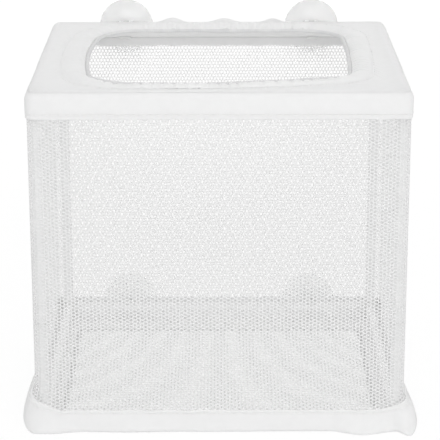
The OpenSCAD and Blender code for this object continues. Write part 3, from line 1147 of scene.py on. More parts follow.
@dataclass
class TopPanel(BandBuilder):
    """The cloth top: over the roll and flat to the seam, then gathered to the elastic."""

    band: TopBand | None = None
    arc_steps: int = 34
    column_mm: float = 0.52
    gathers: Gathers = field(default_factory=Gathers)
    edge_wave: float = 0.7
    sag: float = 0.35
    crease_relief: float = 0.16
    seam_dip: float = 0.05
    strip_steps: int = 26
    inward_power: float = 0.92
    fold_h: float = 0.95
    fold_at_seam: float = 0.22
    fold_power: float = 1.1
    fold_onset: float = 6.0
    main_share: float = 0.62
    fine_share: float = 0.2
    lean: float = 0.45
    lean_columns: int = 3
    arch: float = 1.5
    arch_deg: float = 165.0
    arch_power: float = 0.8
    arch_even: float = 0.85
    soft_wave: float = 0.3
    inner_gap: float = 0.9
    flange_shares: tuple[float, ...] = (0.12, 0.28, 0.46, 0.64, 0.8, 0.91, 1.0)
    mouth_corners: tuple[tuple[float, float], ...] = (
        (-50.6, -57.0), (52.6, -47.0), (54.6, 51.0), (-51.5, 51.0)
    )
    mouth_radii: tuple[float, ...] = (14.0, 11.0, 20.0, 19.0)
    front_bow: float = 6.0
    left_bow: float = 5.0
    right_bow: float = 2.0
    bow_from: float = 25.0
    bow_run: float = 20.0
    ruffle_front: float = 6.6
    ruffle_left: float = 9.8
    ruffle_back: float = 11.0
    ruffle_right: float = 9.4
    ruffle_right_front: float = 8.0
    front_from: float = 44.0
    front_run: float = 8.0
    front_half: float = 52.0
    right_from: float = 45.0
    back_from: float = 42.0
    left_from: float = 44.0
    side_run: float = 6.0
    right_widens_from: float = -50.0
    right_widens_run: float = 95.0
    blend_columns: int = 20
    fullness: float = 1.3

    def mouth(self, grow: float) -> Loop:
        """The mouth's outline.

        Args:
            grow: How far it is grown outward, in millimetres.

        Returns:
            The outline.
        """
        corners = []
        for x, y in self.mouth_corners:
            corners.append((x + math.copysign(grow, x), y + math.copysign(grow, y)))
        return Loop(tuple(corners), tuple(r + grow for r in self.mouth_radii))

    def bowed(self, flat: Array) -> Array:
        """Bows the front and the two sides of the mouth's outline outward.

        Args:
            flat: Points of the outline.

        Returns:
            The bowed points.
        """
        (left, front), (right, back) = self.mouth_corners[0], self.mouth_corners[2]
        x, y = flat[:, 0], flat[:, 1]
        across = ramp(x, left, right - left)
        along = ramp(y, front, back - front)
        near = ramp(-y, self.bow_from, self.bow_run)
        beside = ramp(np.abs(x), self.bow_from, self.bow_run)
        side_bow = np.where(x < 0, -self.left_bow, self.right_bow)
        moved = flat.copy()
        moved[:, 0] += side_bow * 4 * along * (1 - along) * beside
        moved[:, 1] -= self.front_bow * 4 * across * (1 - across) * near
        return moved

    def panel_stops(self) -> list[Array]:
        """Spaces the points of the mouth's four sides for the folds.

        Returns:
            Shares of each side.
        """
        at = np.array(self.mouth_corners)
        stops = []
        for k in range(4):
            after = (k + 1) % 4
            length = np.linalg.norm(at[after] - at[k]) - self.mouth_radii[k] - self.mouth_radii[after]
            stops.append(even_stops(float(length), self.column_mm))
        return stops

    def front_share(self, y: Array) -> Array:
        """How far places along y belong to the mouth's front, from 0 to 1."""
        return ramp(-y, self.front_from, self.front_run)

    def ruffle_width(self, near: Array) -> Array:
        """Width of the gathered strip at each column of the mouth.

        Args:
            near: Points of the mouth.

        Returns:
            Widths in millimetres.
        """
        x, y = near[:, 0], near[:, 1]
        back_share = ramp(y, self.right_widens_from, self.right_widens_run)
        right = self.ruffle_right_front + (self.ruffle_right - self.ruffle_right_front) * back_share
        weights = np.stack([
            self.front_share(y) * (np.abs(x) < self.front_half),
            ramp(x, self.right_from, self.side_run),
            ramp(y, self.back_from, self.side_run),
            ramp(-x, self.left_from, self.side_run),
        ]) + 1e-6
        widths = np.stack([
            np.full(len(x), self.ruffle_front), right,
            np.full(len(x), self.ruffle_back), np.full(len(x), self.ruffle_left),
        ])
        blended = (weights * widths).sum(0) / weights.sum(0)
        lap = self.blend_columns
        kernel = np.hanning(2 * lap + 1)
        padded = np.concatenate([blended[-lap:], blended, blended[:lap]])
        return np.convolve(padded, kernel / kernel.sum(), mode="valid")

    def edge_rows(self, section: Array, stops: Sequence[Array]) -> Array:
        """Rows of the rolled edge, with the same soft waves as the band's.

        Args:
            section: Inset and height of each row.
            stops: Shares of the four sides.

        Returns:
            Points by row and column.
        """
        rows, outward = self.loop_rows(section, stops)
        around = lengths_along(rows[-1])
        slow = self.band.slow_wave(around[:-1] / around[-1])
        for index in range(len(section)):
            fade = 1 - index / (len(section) - 1)
            rows[index, :, :2] += outward * (self.band.wave * slow * self.edge_wave * fade)[:, None]
        return rows

    def flange_rows(self, start: Array, seam_line: Array, main: Array, soft: Array) -> list[Array]:
        """Rows of the flat cloth from the rolled edge to the seam of the gathered strip.

        Args:
            start: Where the rolled edge ends, across.
            seam_line: Where the seam runs, across.
            main: Heights of the main folds.
            soft: A soft wave round the mouth.

        Returns:
            Rows of points.
        """
        rows = []
        for t in self.flange_shares:
            flat = start + (seam_line - start) * t
            slack = self.sag * math.sin(math.pi * t) * (1 + self.soft_wave * soft)
            z = self.bag.height - slack + self.crease_relief * t ** 3 * main
            z = z - self.seam_dip * (t == 1.0)
            rows.append(np.column_stack([flat, z]))
        return rows

    def strip_rows(
        self, seam_line: Array, inner: Array, folds: tuple[Array, Array], soft: Array
    ) -> list[Array]:
        """Rows of the gathered strip, which arches from its seam to the elastic.

        Args:
            seam_line: Where the seam runs, across.
            inner: The strip's inner edge, across.
            folds: Heights of the main and the fine folds.
            soft: A soft wave round the mouth.

        Returns:
            Rows of points.
        """
        main, fine = folds
        run = np.roll(inner, -1, axis=0) - inner
        run /= np.linalg.norm(run, axis=1)[:, None]
        rows = []
        for i in range(1, self.strip_steps + 1):
            g = i / self.strip_steps
            flat = seam_line + (inner - seam_line) * (g ** self.inward_power)
            grown = self.fold_at_seam + (1 - self.fold_at_seam) * g ** self.fold_power
            deep = self.fold_h * grown * min(1.0, g * self.fold_onset)
            lean = self.lean * deep * np.roll(main, self.lean_columns)
            bulge = math.sin(math.radians(self.arch_deg) * g ** self.arch_power)
            roll = self.arch * bulge * (self.arch_even + self.soft_wave * soft)
            drop = (self.bag.elastic_d / 2) * g ** 5
            folded = self.bag.height + roll - drop + deep * main * self.main_share
            z = folded + self.fine_share * deep * g * fine
            rows.append(np.column_stack([flat + run * lean[:, None], z]))
        return rows

    def build(self) -> tuple[bpy.types.Object, list[Seam]]:
        """Makes the top cloth and its seam.

        Returns:
            The cloth and its seams.
        """
        bag = self.bag
        band = self.band
        stops = self.panel_stops()
        inner, inner_out = self.mouth(self.inner_gap).trace(stops, self.arc_steps)
        inner = self.bowed(inner)
        centre = band.roll_centre()
        edge = arc_section(centre, band.roll_r, band.crease_angle, 90, 6)
        tucked = arc_section(centre, band.roll_r - band.tuck, band.crease_angle, band.crease_angle, 0)
        section = np.concatenate([tucked, edge])
        outer_rows = self.edge_rows(section, stops)
        mouth_length = lengths_along(inner)
        share = mouth_length[:-1] / mouth_length[-1]
        seam_line = inner + inner_out * self.ruffle_width(inner)[:, None]
        main, fine = self.gathers.along(share)
        soft = Ripple(31, 6, 20).along(share)
        flange = self.flange_rows(outer_rows[-1][:, :2], seam_line, main, soft)
        strip = self.strip_rows(seam_line, inner, (main, fine), soft)
        rows = np.stack([*outer_rows, *flange, *strip])
        rows[..., 2] += band.puckers.lift(rows, bag.depth)
        across = path_lengths(rows[:, len(stops[0]) // 2])
        faces, uv = grid(across, mouth_length)
        made = Piece("top_cloth", rows.reshape(-1, 3), faces, uv).build(bag, TOP_CLOTH)
        solidified(made, self.thickness)
        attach(made, "box")
        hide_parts("top_panel")
        seam_row = len(outer_rows) + len(flange) - 2
        up = np.tile([0.0, 0.0, 1.0], (len(seam_line), 1))
        return made, [Seam(rows[seam_row], up)]


@dataclass
class MouthElastic:
    """The elastic in the mouth, overlocked with thread all round."""

    bag: Bag
    panel: TopPanel
    wrap_pitch: float = 0.95
    wrap_relief: float = 0.13
    ridge_power: float = 0.7
    side_points: int = 400
    arc_points: int = 60
    ring_mm: float = 0.24
    sides: int = 9
    # Lifts the cord at the front so its grey shows as the dark line there: painted shade.
    front_lift: float = 0.9
    level_wave: float = 0.25

    def build(self) -> bpy.types.Object:
        """Makes the cord as one closed ring with the thread's turns on it.

        Returns:
            The elastic cord.
        """
        bag = self.bag
        loop = self.panel.mouth(0.0)
        stops = [np.linspace(0, 1, self.side_points)[1:-1]] * 4
        dense, _ = loop.trace(stops, self.arc_points)
        dense = self.panel.bowed(dense)
        run = lengths_along(dense)
        total = run[-1]
        turns = round(total / self.wrap_pitch)
        count = round(total / self.ring_mm)
        at = np.linspace(0, total, count, endpoint=False)
        closed = np.vstack([dense, dense[:1]])
        centre = np.column_stack([np.interp(at, run, closed[:, k]) for k in (0, 1)])
        ahead = np.roll(centre, -2, axis=0) - np.roll(centre, 2, axis=0)
        ahead /= np.linalg.norm(ahead, axis=1)[:, None]
        out = np.column_stack([ahead[:, 1], -ahead[:, 0]])
        around = 2 * math.pi * np.arange(self.sides) / self.sides
        phase = turns * at / total
        twist = phase[:, None] - around[None] / (2 * math.pi)
        ridge = np.maximum(0, np.cos(2 * math.pi * twist)) ** self.ridge_power
        radius = bag.elastic_d / 2 - self.wrap_relief + self.wrap_relief * ridge
        front = self.panel.front_share(centre[:, 1])
        wave = self.level_wave * Ripple(41, 4, 16).along(at / total)
        level = bag.mouth_height + wave + self.front_lift * front
        side = radius * np.cos(around)[None]
        points = np.stack([
            centre[:, None, 0] + out[:, None, 0] * side,
            centre[:, None, 1] + out[:, None, 1] * side,
            level[:, None] + radius * np.sin(around)[None],
        ], -1)
        i, k = np.meshgrid(np.arange(count), np.arange(self.sides), indexing="ij")
        j, m = (i + 1) % count, (k + 1) % self.sides
        n = self.sides
        faces = np.stack([i * n + k, j * n + k, j * n + m, i * n + m], -1).reshape(-1, 4)
        made = Piece("elastic_cord", points.reshape(-1, 3), faces).build(bag, ELASTIC_YARN)
        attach(made, "box")
        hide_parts("mouth_elastic")
        LOG.info("elastic cord: %.0f mm round the mouth", total)
        return made


@dataclass
class BottomHem(BandBuilder):
    """The cloth hem: folded in at its top, down the wall, round the foot and under the floor."""

    fold_gap: float = 0.75
    turn_in: float = 2.6
    foot_r: float = 2.6
    top_wave: float = 0.3
    wall_wave: float = 0.25
    seam_drop: float = 1.9
    quick_wave: float = 0.06
    strip_rows: int = 9
    strip_lift: float = 0.02
    strip_arch: float = 0.1
    share_row: int = 8
    wall_first: int = 9

    def slits(self) -> Slits:
        """The slits for the lower clips."""
        return Slits(self.bag.stem_x, self.bag.bottom_rail)

    def wall_section(self) -> Array:
        """The hem's section, from the turned-in edge over the top, down the wall to the floor.

        Returns:
            Insets and heights, one row each.
        """
        top = self.bag.hem_top - 0.2
        fold_r = self.fold_gap / 2
        slit_high = self.bag.bottom_rail + self.slits().half_height
        slit_low = self.bag.bottom_rail - self.slits().half_height
        bend = top - fold_r
        turned = [bend - self.turn_in, bend - self.turn_in / 2, slit_high - 0.02]
        inner = np.column_stack([np.full(len(turned), self.fold_gap), turned])
        fold = arc_section((fold_r, bend), fold_r, 180, 0, 6)
        levels = np.concatenate([[slit_high], np.linspace(slit_high - 0.7, slit_low, 8)])
        outer = np.column_stack([np.zeros(len(levels)), levels])
        foot = arc_section((self.foot_r, self.foot_r), self.foot_r, -8, -90, 8)
        return np.concatenate([inner, fold, outer, foot])

    def build(self) -> tuple[bpy.types.Object, list[Seam]]:
        """Makes the hem and its seams.

        Returns:
            The hem and its seams.
        """
        bag = self.bag
        section = self.wall_section()
        stops = self.side_stops(self.slits())
        rows, outward = self.loop_rows(section, stops)
        around = lengths_along(rows[self.share_row])
        share = around[:-1] / around[-1]
        slow = 0.5 + 0.5 * Ripple(51, 6, 16).along(share)
        quick = Ripple(52, 24, 56).along(share)
        for index, (_, z) in enumerate(section):
            rise = np.clip(z / bag.hem_top, 0, 1)
            wave = self.wall_wave * slow * math.sin(math.pi * rise) + self.quick_wave * quick * rise
            rows[index, :, :2] += outward * wave[:, None]
            rows[index, :, 2] += self.top_wave * rise ** 3 * quick * 0.6
        strip = self.floor_strip(rows[-1], stops)
        rows = np.concatenate([rows, strip])
        rows = self.drape.raised(rows.reshape(-1, 3)).reshape(rows.shape)
        moved = self.drape.moved(rows.reshape(-1, 3), bag).reshape(rows.shape)
        moved = self.ease_strip(rows, moved, len(section))
        across = path_lengths(rows[:, len(stops[0]) // 2])
        around = lengths_along(rows[self.share_row])
        faces, uv = grid(across, around, self.slits().cut_quads(rows))
        uv = uv.reshape(-1, 4, 2)[:, ::-1].reshape(-1, 2)
        piece = Piece("hem_cloth", moved.reshape(-1, 3), faces[:, ::-1], uv)
        made = solidified(piece.build(bag, BINDING), self.thickness)
        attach(made, "box")
        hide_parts("bottom_hem")
        return made, self.seams(moved, outward, section)

    def floor_strip(self, foot: Array, stops: Sequence[Array]) -> Array:
        """Rows of the strip that is turned under the floor.

        Args:
            foot: The last row of the wall, which touches the floor.
            stops: Shares of the four sides.

        Returns:
            Rows of points.
        """
        bag = self.bag
        x, front, back = bag.floor_x, bag.floor_front, bag.floor_back
        hole = Loop(((-x, front), (x, front), (x, back), (-x, back)), (0.5,) * 4)
        inner, _ = hole.trace(stops, self.arc_steps)
        rows = []
        for i in range(1, self.strip_rows + 1):
            t = i / self.strip_rows
            flat = foot[:, :2] + (inner - foot[:, :2]) * t
            z = self.strip_lift + self.strip_arch * math.sin(math.pi * t)
            rows.append(np.column_stack([flat, np.full(len(flat), z)]))
        return np.stack(rows)

    def ease_strip(self, rows: Array, moved: Array, wall_rows: int) -> Array:
        """Lets the pull of the ears and bulges die away across the strip under the floor.

        Args:
            rows: Points before the pull.
            moved: Points after it.
            wall_rows: How many rows belong to the wall.

        Returns:
            The eased points.
        """
        pull = moved[wall_rows - 1] - rows[wall_rows - 1]
        for i in range(wall_rows, len(rows)):
            left = 1 - (i - wall_rows + 1) / self.strip_rows
            moved[i] = rows[i] + pull * left ** 1.5
        return moved

    def seams(self, moved: Array, outward: Array, section: Array) -> list[Seam]:
        """The seam below the hem's top, which leaves the slits free.

        Args:
            moved: The final points.
            outward: Normals of the columns.
            section: Inset and height of the wall's rows.

        Returns:
            The seams.
        """
        level = self.bag.hem_top - self.seam_drop
        outer = np.arange(self.wall_first, self.wall_first + 9)
        row = outer[int(np.argmin(np.abs(section[outer, 1] - level)))]
        facing = np.column_stack([outward, np.zeros(len(outward))])
        return [Seam(moved[row], facing, self.slits())]


@dataclass(frozen=True)
class Mesh:
    """Knit of the net: six-sided cells in staggered columns."""

    column: float = 1.48
    pitch: float = 1.52
    strand: float = 0.62
    thickness: float = 0.12

    def cell_width(self) -> float:
        """Width of a cell between its two points, where columns overlap by a quarter."""
        return self.column / 0.75

    def hole_corners(self) -> Array:
        """Corners of the hole in a cell.

        Returns:
            Six points about the cell's middle, from the right, anticlockwise.
        """
        w, h, s = self.cell_width(), self.pitch, self.strand
        slant = math.hypot(w / 4, h / 2)
        half = (h - s) / 2
        tip = w / 2 - s / 2 * slant / (h / 2)
        shoulder = tip - (w / 4) / (h / 2) * half
        return np.array([
            [tip, 0], [shoulder, half], [-shoulder, half],
            [-tip, 0], [-shoulder, -half], [shoulder, -half],
        ])

    def cover(self) -> float:
        """Share of the net's area that its strands fill."""
        tip, shoulder = self.hole_corners()[0][0], self.hole_corners()[1][0]
        return 1 - (tip + shoulder) * (self.pitch - self.strand) / (self.column * self.pitch)

    @staticmethod
    def hole_id(cell: Array, corner: int) -> Array:
        """Numbers of one corner of the holes of some cells."""
        return 6 * cell + corner % 6

    def knit(self, low: tuple[float, float], high: tuple[float, float]) -> tuple[Array, Array, Array]:
        """Knits a flat net that fills a rectangle.

        A cell has the six corners of its hole, and a peak at each end, where three strands
        meet and stand proud. Two rings of cells round the rim only lend their points.

        Args:
            low: Lowest corner of the rectangle.
            high: Highest corner of the rectangle.

        Returns:
            Points across, up and out of the net, its quads, and its triangles.
        """
        size = np.array(high) - np.array(low)
        columns = int(size[0] / self.column) - 1
        rows = int(size[1] / self.pitch) - 1
        nc, nr = columns + 4, rows + 4
        c, r = np.meshgrid(np.arange(nc), np.arange(nr), indexing="ij")
        odd = c % 2
        middle = (np.array(low) + np.array(high)) / 2
        x = middle[0] + (c - (nc - 1) / 2) * self.column
        y = middle[1] + (r + 0.5 * odd - (nr - 0.5) / 2) * self.pitch
        used = (c >= 2) & (c < nc - 2) & (r >= 2) & (r < nr - 2)
        inside = (c >= 1) & (c < nc - 1) & (r >= 1) & (r < nr - 1)
        centres = np.stack([x, y], -1)
        number = c * nr + r
        flag = used.ravel()
        shifts = ((1, odd), (0, 1), (-1, odd), (-1, odd - 1), (0, -1), (1, odd - 1))
        near = [((c + dc) % nc) * nr + (r + dr) % nr for dc, dr in shifts]
        first = 6 * nc * nr
        node_of = {
            0: first + 2 * number, 3: first + 2 * number + 1,
            1: first + 2 * near[0] + 1, 5: first + 2 * near[5] + 1,
            2: first + 2 * near[2], 4: first + 2 * near[3],
        }
        quads, triangles = [], []
        for side in range(3):
            other = near[side]
            there = (used | flag[other]) & inside
            a0, a1 = self.hole_id(number, side), self.hole_id(number, side + 1)
            b0, b1 = self.hole_id(other, side + 4), self.hole_id(other, side + 3)
            p0, p1 = node_of[side], node_of[(side + 1) % 6]
            for quad in ((a1, a0, p0, p1), (p1, p0, b0, b1), (a0, a1, b1, b0)):
                quads.append(np.stack(quad, -1)[there])
        meetings = {
            0: ((number, 0), (near[5], 2), (near[0], 4)),
            3: ((number, 3), (near[2], 5), (near[3], 1)),
        }
        for corner, around in meetings.items():
            peak = node_of[corner]
            there = (flag[around[0][0]] | flag[around[1][0]] | flag[around[2][0]]) & inside
            ids = [self.hole_id(cell, k) for cell, k in around]
            triangles.append(np.stack([ids[0], ids[2], ids[1]], -1)[there])
            for k in range(3):
                cell_a, cell_b = around[k][0], around[(k + 1) % 3][0]
                bare = there & ~flag[cell_a] & ~flag[cell_b]
                triangles.append(np.stack([peak, ids[k], ids[(k + 1) % 3]], -1)[bare])
        quads, triangles = np.concatenate(quads), np.concatenate(triangles)
        holes = centres.reshape(-1, 1, 2) + self.hole_corners()[None]
        tips = np.array([[self.cell_width() / 2, 0.0], [-self.cell_width() / 2, 0.0]])
        peaks = centres.reshape(-1, 1, 2) + tips[None]
        flat = np.concatenate([holes.reshape(-1, 2), peaks.reshape(-1, 2)])
        out = np.concatenate([np.zeros(6 * nc * nr), np.full(2 * nc * nr, self.thickness)])
        points = np.column_stack([flat, out])
        wanted = np.unique(np.concatenate([quads.ravel(), triangles.ravel()]))
        renumber = np.full(len(points), -1)
        renumber[wanted] = np.arange(len(wanted))
        return points[wanted], renumber[quads], renumber[triangles]


@dataclass
class NetBag:
    """The net: front and back walls that turn round the posts, two sides and the floor."""

    bag: Bag
    drape: Drape
    mesh: Mesh = field(default_factory=Mesh)
    inset: float = 0.62
    tuck_inset: float = 0.45
    tuck_top: float = 2.6
    tuck_foot: float = 1.4
    billow: float = 0.5
    waves: int = 6
    wave_across: tuple[float, float] = (9.0, 26.0)
    wave_up: tuple[float, float] = (11.0, 30.0)
    wave_share: float = 0.3
    side_lap: float = 1.0
    floor_lap: float = 3.0
    floor_rise: float = 0.34
    floor_sag: float = 0.25

    def wall(self, side: Side) -> bpy.types.Object:
        """Makes one wall.

        Args:
            side: Which wall.

        Returns:
            The net.
        """
        bag = self.bag
        wide = side in (Side.FRONT, Side.BACK)
        span = bag.width if wide else bag.depth
        straight = span / 2 - bag.corner_r
        bend = bag.corner_r * math.pi / 2 if wide else self.side_lap
        low = bag.hem_top - self.tuck_foot
        high = bag.band_foot + self.tuck_top
        reach = straight + bend
        if side is Side.BACK:
            points, quads, triangles = self.mesh.knit((low, -reach), (high, reach))
            points = points @ np.array([[0.0, 1.0, 0.0], [-1.0, 0.0, 0.0], [0.0, 0.0, 1.0]])
        else:
            points, quads, triangles = self.mesh.knit((-reach, low), (reach, high))
        placed = self.hang(points, side, straight)
        name = f"net_{side.value}_knit"
        made = Piece(name, placed, quads, triangles=triangles).build(bag, NET_YARN, smooth=False)
        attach(made, "box")
        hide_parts(f"net_{side.value}")
        width, height = 2 * reach, high - low
        self.mesh.cover() * width * height * MM * MM
        return made

    def hang(self, points: Array, side: Side, straight: float) -> Array:
        """Hangs the flat net on its wall, with a soft billow.

        Args:
            points: Points across, up and out of the flat net.
            side: Which wall.
            straight: Half length of the flat of the wall.

        Returns:
            Bag points.
        """
        bag = self.bag
        across, up, out = points.T
        over = np.clip(np.abs(across) - straight, 0, None)
        radius = bag.corner_r - self.inset
        wide = side in (Side.FRONT, Side.BACK)
        angle = over / bag.corner_r if wide else np.zeros_like(over)
        top, foot = bag.band_foot, bag.hem_top
        rise = ramp(up, foot, top - foot)
        window = np.cos(np.clip(across / straight, -1, 1) * math.pi / 2) * np.sin(math.pi * rise)
        rng = np.random.default_rng(WALL_SEEDS[side])
        swell = np.zeros_like(across)
        for _ in range(self.waves):
            swell += rng.normal() * np.sin(
                across / rng.uniform(*self.wave_across) + up / rng.uniform(*self.wave_up)
                + rng.uniform(0, 6.28)
            )
        tucked = np.clip(1 - np.minimum(top - up, up - foot), 0, 1)
        outward = radius + (self.inset - self.tuck_inset) * tucked + out
        outward = outward + self.billow * window * swell * self.wave_share
        half = (bag.depth if wide else bag.width) / 2 - bag.corner_r
        sign = np.sign(across)
        if wide:
            sx = np.clip(across, -straight, straight) + sign * (outward * np.sin(angle))
            depth = half + outward * np.cos(angle)
        else:
            sx = across
            depth = half + outward
        along, facing = WALL_TURNS[side]
        x = along[0] * sx + facing[0] * depth
        y = along[1] * sx + facing[1] * depth
        placed = np.column_stack([x, y, up])
        return self.drape.moved(placed, bag)

    def floor(self) -> bpy.types.Object:
        """Makes the net floor, which lies on the strip that the hem turns under it.

        Returns:
            The net.
        """
        bag = self.bag
        x = bag.floor_x + self.floor_lap
        y0, y1 = bag.floor_front - self.floor_lap, bag.floor_back + self.floor_lap
        points, quads, triangles = self.mesh.knit((-x, y0), (x, y1))
        across = np.cos(points[:, 0] / x * math.pi / 2)
        deep = np.cos((points[:, 1] - (y0 + y1) / 2) / (y1 - y0) * math.pi)
        z = self.floor_rise + points[:, 2] - self.floor_sag * np.clip(across * deep, 0, 1)
        placed = np.column_stack([points[:, :2], z])
        piece = Piece("net_floor_knit", placed, quads, triangles=triangles)
        made = piece.build(bag, NET_YARN, smooth=False)
        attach(made, "box")
        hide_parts("net_floor")
        self.mesh.cover() * 2 * x * (y1 - y0) * MM * MM
        return made


@dataclass
class Stitching:
    """Lockstitch seams: one stitch is modelled and copied along each seam."""

    bag: Bag
    thread_d: float = 0.26
    stitch: float = 2.5
    gap: float = 0.7
    sink: float = 0.06
    bend_at: float = 0.32
    dip: float = 0.9
    dip_from: float = 0.3
    dip_power: float = 1.5
    sides: int = 5

    def one_stitch(self) -> tuple[Array, Array]:
        """Models a stitch along x, with its ends dipping into the cloth.

        Returns:
            Its points in millimetres, with z away from the cloth, and its triangles.
        """
        bpy.ops.object.select_all(action="DESELECT")
        bpy.ops.mesh.primitive_cylinder_add(
            vertices=self.sides, radius=self.thread_d / 2, depth=self.stitch, end_fill_type="TRIFAN",
            rotation=(0, math.pi / 2, 0),
        )
        made = bpy.context.object
        bpy.ops.object.transform_apply(location=True, rotation=True, scale=True)
        bpy.ops.object.mode_set(mode="EDIT")
        for cut in (-self.bend_at, self.bend_at):
            bpy.ops.mesh.select_all(action="SELECT")
            bpy.ops.mesh.bisect(plane_co=(cut * self.stitch, 0, 0), plane_no=(1, 0, 0))
        bpy.ops.mesh.select_all(action="SELECT")
        bpy.ops.mesh.quads_convert_to_tris()
        bpy.ops.object.mode_set(mode="OBJECT")
        points = np.array([v.co[:] for v in made.data.vertices])
        faces = np.array([p.vertices[:] for p in made.data.polygons])
        mesh = made.data
        bpy.data.objects.remove(made)
        bpy.data.meshes.remove(mesh)
        end = np.abs(points[:, 0]) / (self.stitch / 2)
        points[:, 2] -= self.thread_d * self.dip * np.clip(end - self.dip_from, 0, 1) ** self.dip_power
        return points, faces

    def sew(self, name: str, seams: Sequence[Seam]) -> bpy.types.Object:
        """Sews stitches along seams and joins them to one piece.

        Args:
            name: Name of the piece.
            seams: The seams.

        Returns:
            The stitches.
        """
        shape, faces = self.one_stitch()
        step = self.stitch + self.gap
        all_points, all_faces = [], []
        for seam in seams:
            line = np.vstack([seam.points, seam.points[:1]])
            facing = np.vstack([seam.normals, seam.normals[:1]])
            run = path_lengths(line)
            count = max(1, int(run[-1] / step))
            at = (np.arange(count) + 0.5) * run[-1] / count
            place = np.column_stack([np.interp(at, run, line[:, k]) for k in range(3)])
            half = self.stitch / 2
            if seam.slits is not None:
                sewn = ~seam.slits.beside(place, half + self.gap)
                at, place = at[sewn], place[sewn]
            ahead = np.column_stack([
                np.interp(np.clip(at + half, 0, run[-1]), run, line[:, k])
                - np.interp(np.clip(at - half, 0, run[-1]), run, line[:, k]) for k in range(3)
            ])
            ahead /= np.linalg.norm(ahead, axis=1)[:, None]
            up = np.column_stack([np.interp(at, run, facing[:, k]) for k in range(3)])
            up -= ahead * (up * ahead).sum(1)[:, None]
            up /= np.linalg.norm(up, axis=1)[:, None]
            aside = np.cross(up, ahead)
            lifted = place + up * (self.thread_d / 2 - self.sink)
            moved = (
                lifted[:, None] + shape[None, :, :1] * ahead[:, None]
                + shape[None, :, 1:2] * aside[:, None] + shape[None, :, 2:] * up[:, None]
            )
            base = sum(len(p) for p in all_points)
            offsets = base + np.arange(len(at))[:, None, None] * len(shape)
            all_points.append(moved.reshape(-1, 3))
            all_faces.append((faces[None] + offsets).reshape(-1, 3))
        points, triangles = np.concatenate(all_points), np.concatenate(all_faces)
        made = Piece(name, points, np.empty((0, 4), int), triangles=triangles).build(self.bag, THREAD)
        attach(made, "box")
        return made


class Frame:
    """The hard pieces of the frame, which keep their shape and get their finish."""

    def dress(self) -> None:
        """Gives each carried-over piece its finish."""
        for name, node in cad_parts.items():
            finish = self.finish_of(name)
            if finish is None:
                continue
            node.data.materials.clear()
            node.data.materials.append(finish.material())

    @staticmethod
    def finish_of(name: str) -> Finish | None:
        """The finish of a piece of the frame.

        Args:
            name: Name of the piece.

        Returns:
            Its finish, or None for a piece that is sewn anew.
        """
        if name.startswith("rail_") and name.endswith(("front", "rear")):
            return RAIL_X_TUBE
        for start, finish in FINISHES.items():
            if name.startswith(start):
                return finish
        return None


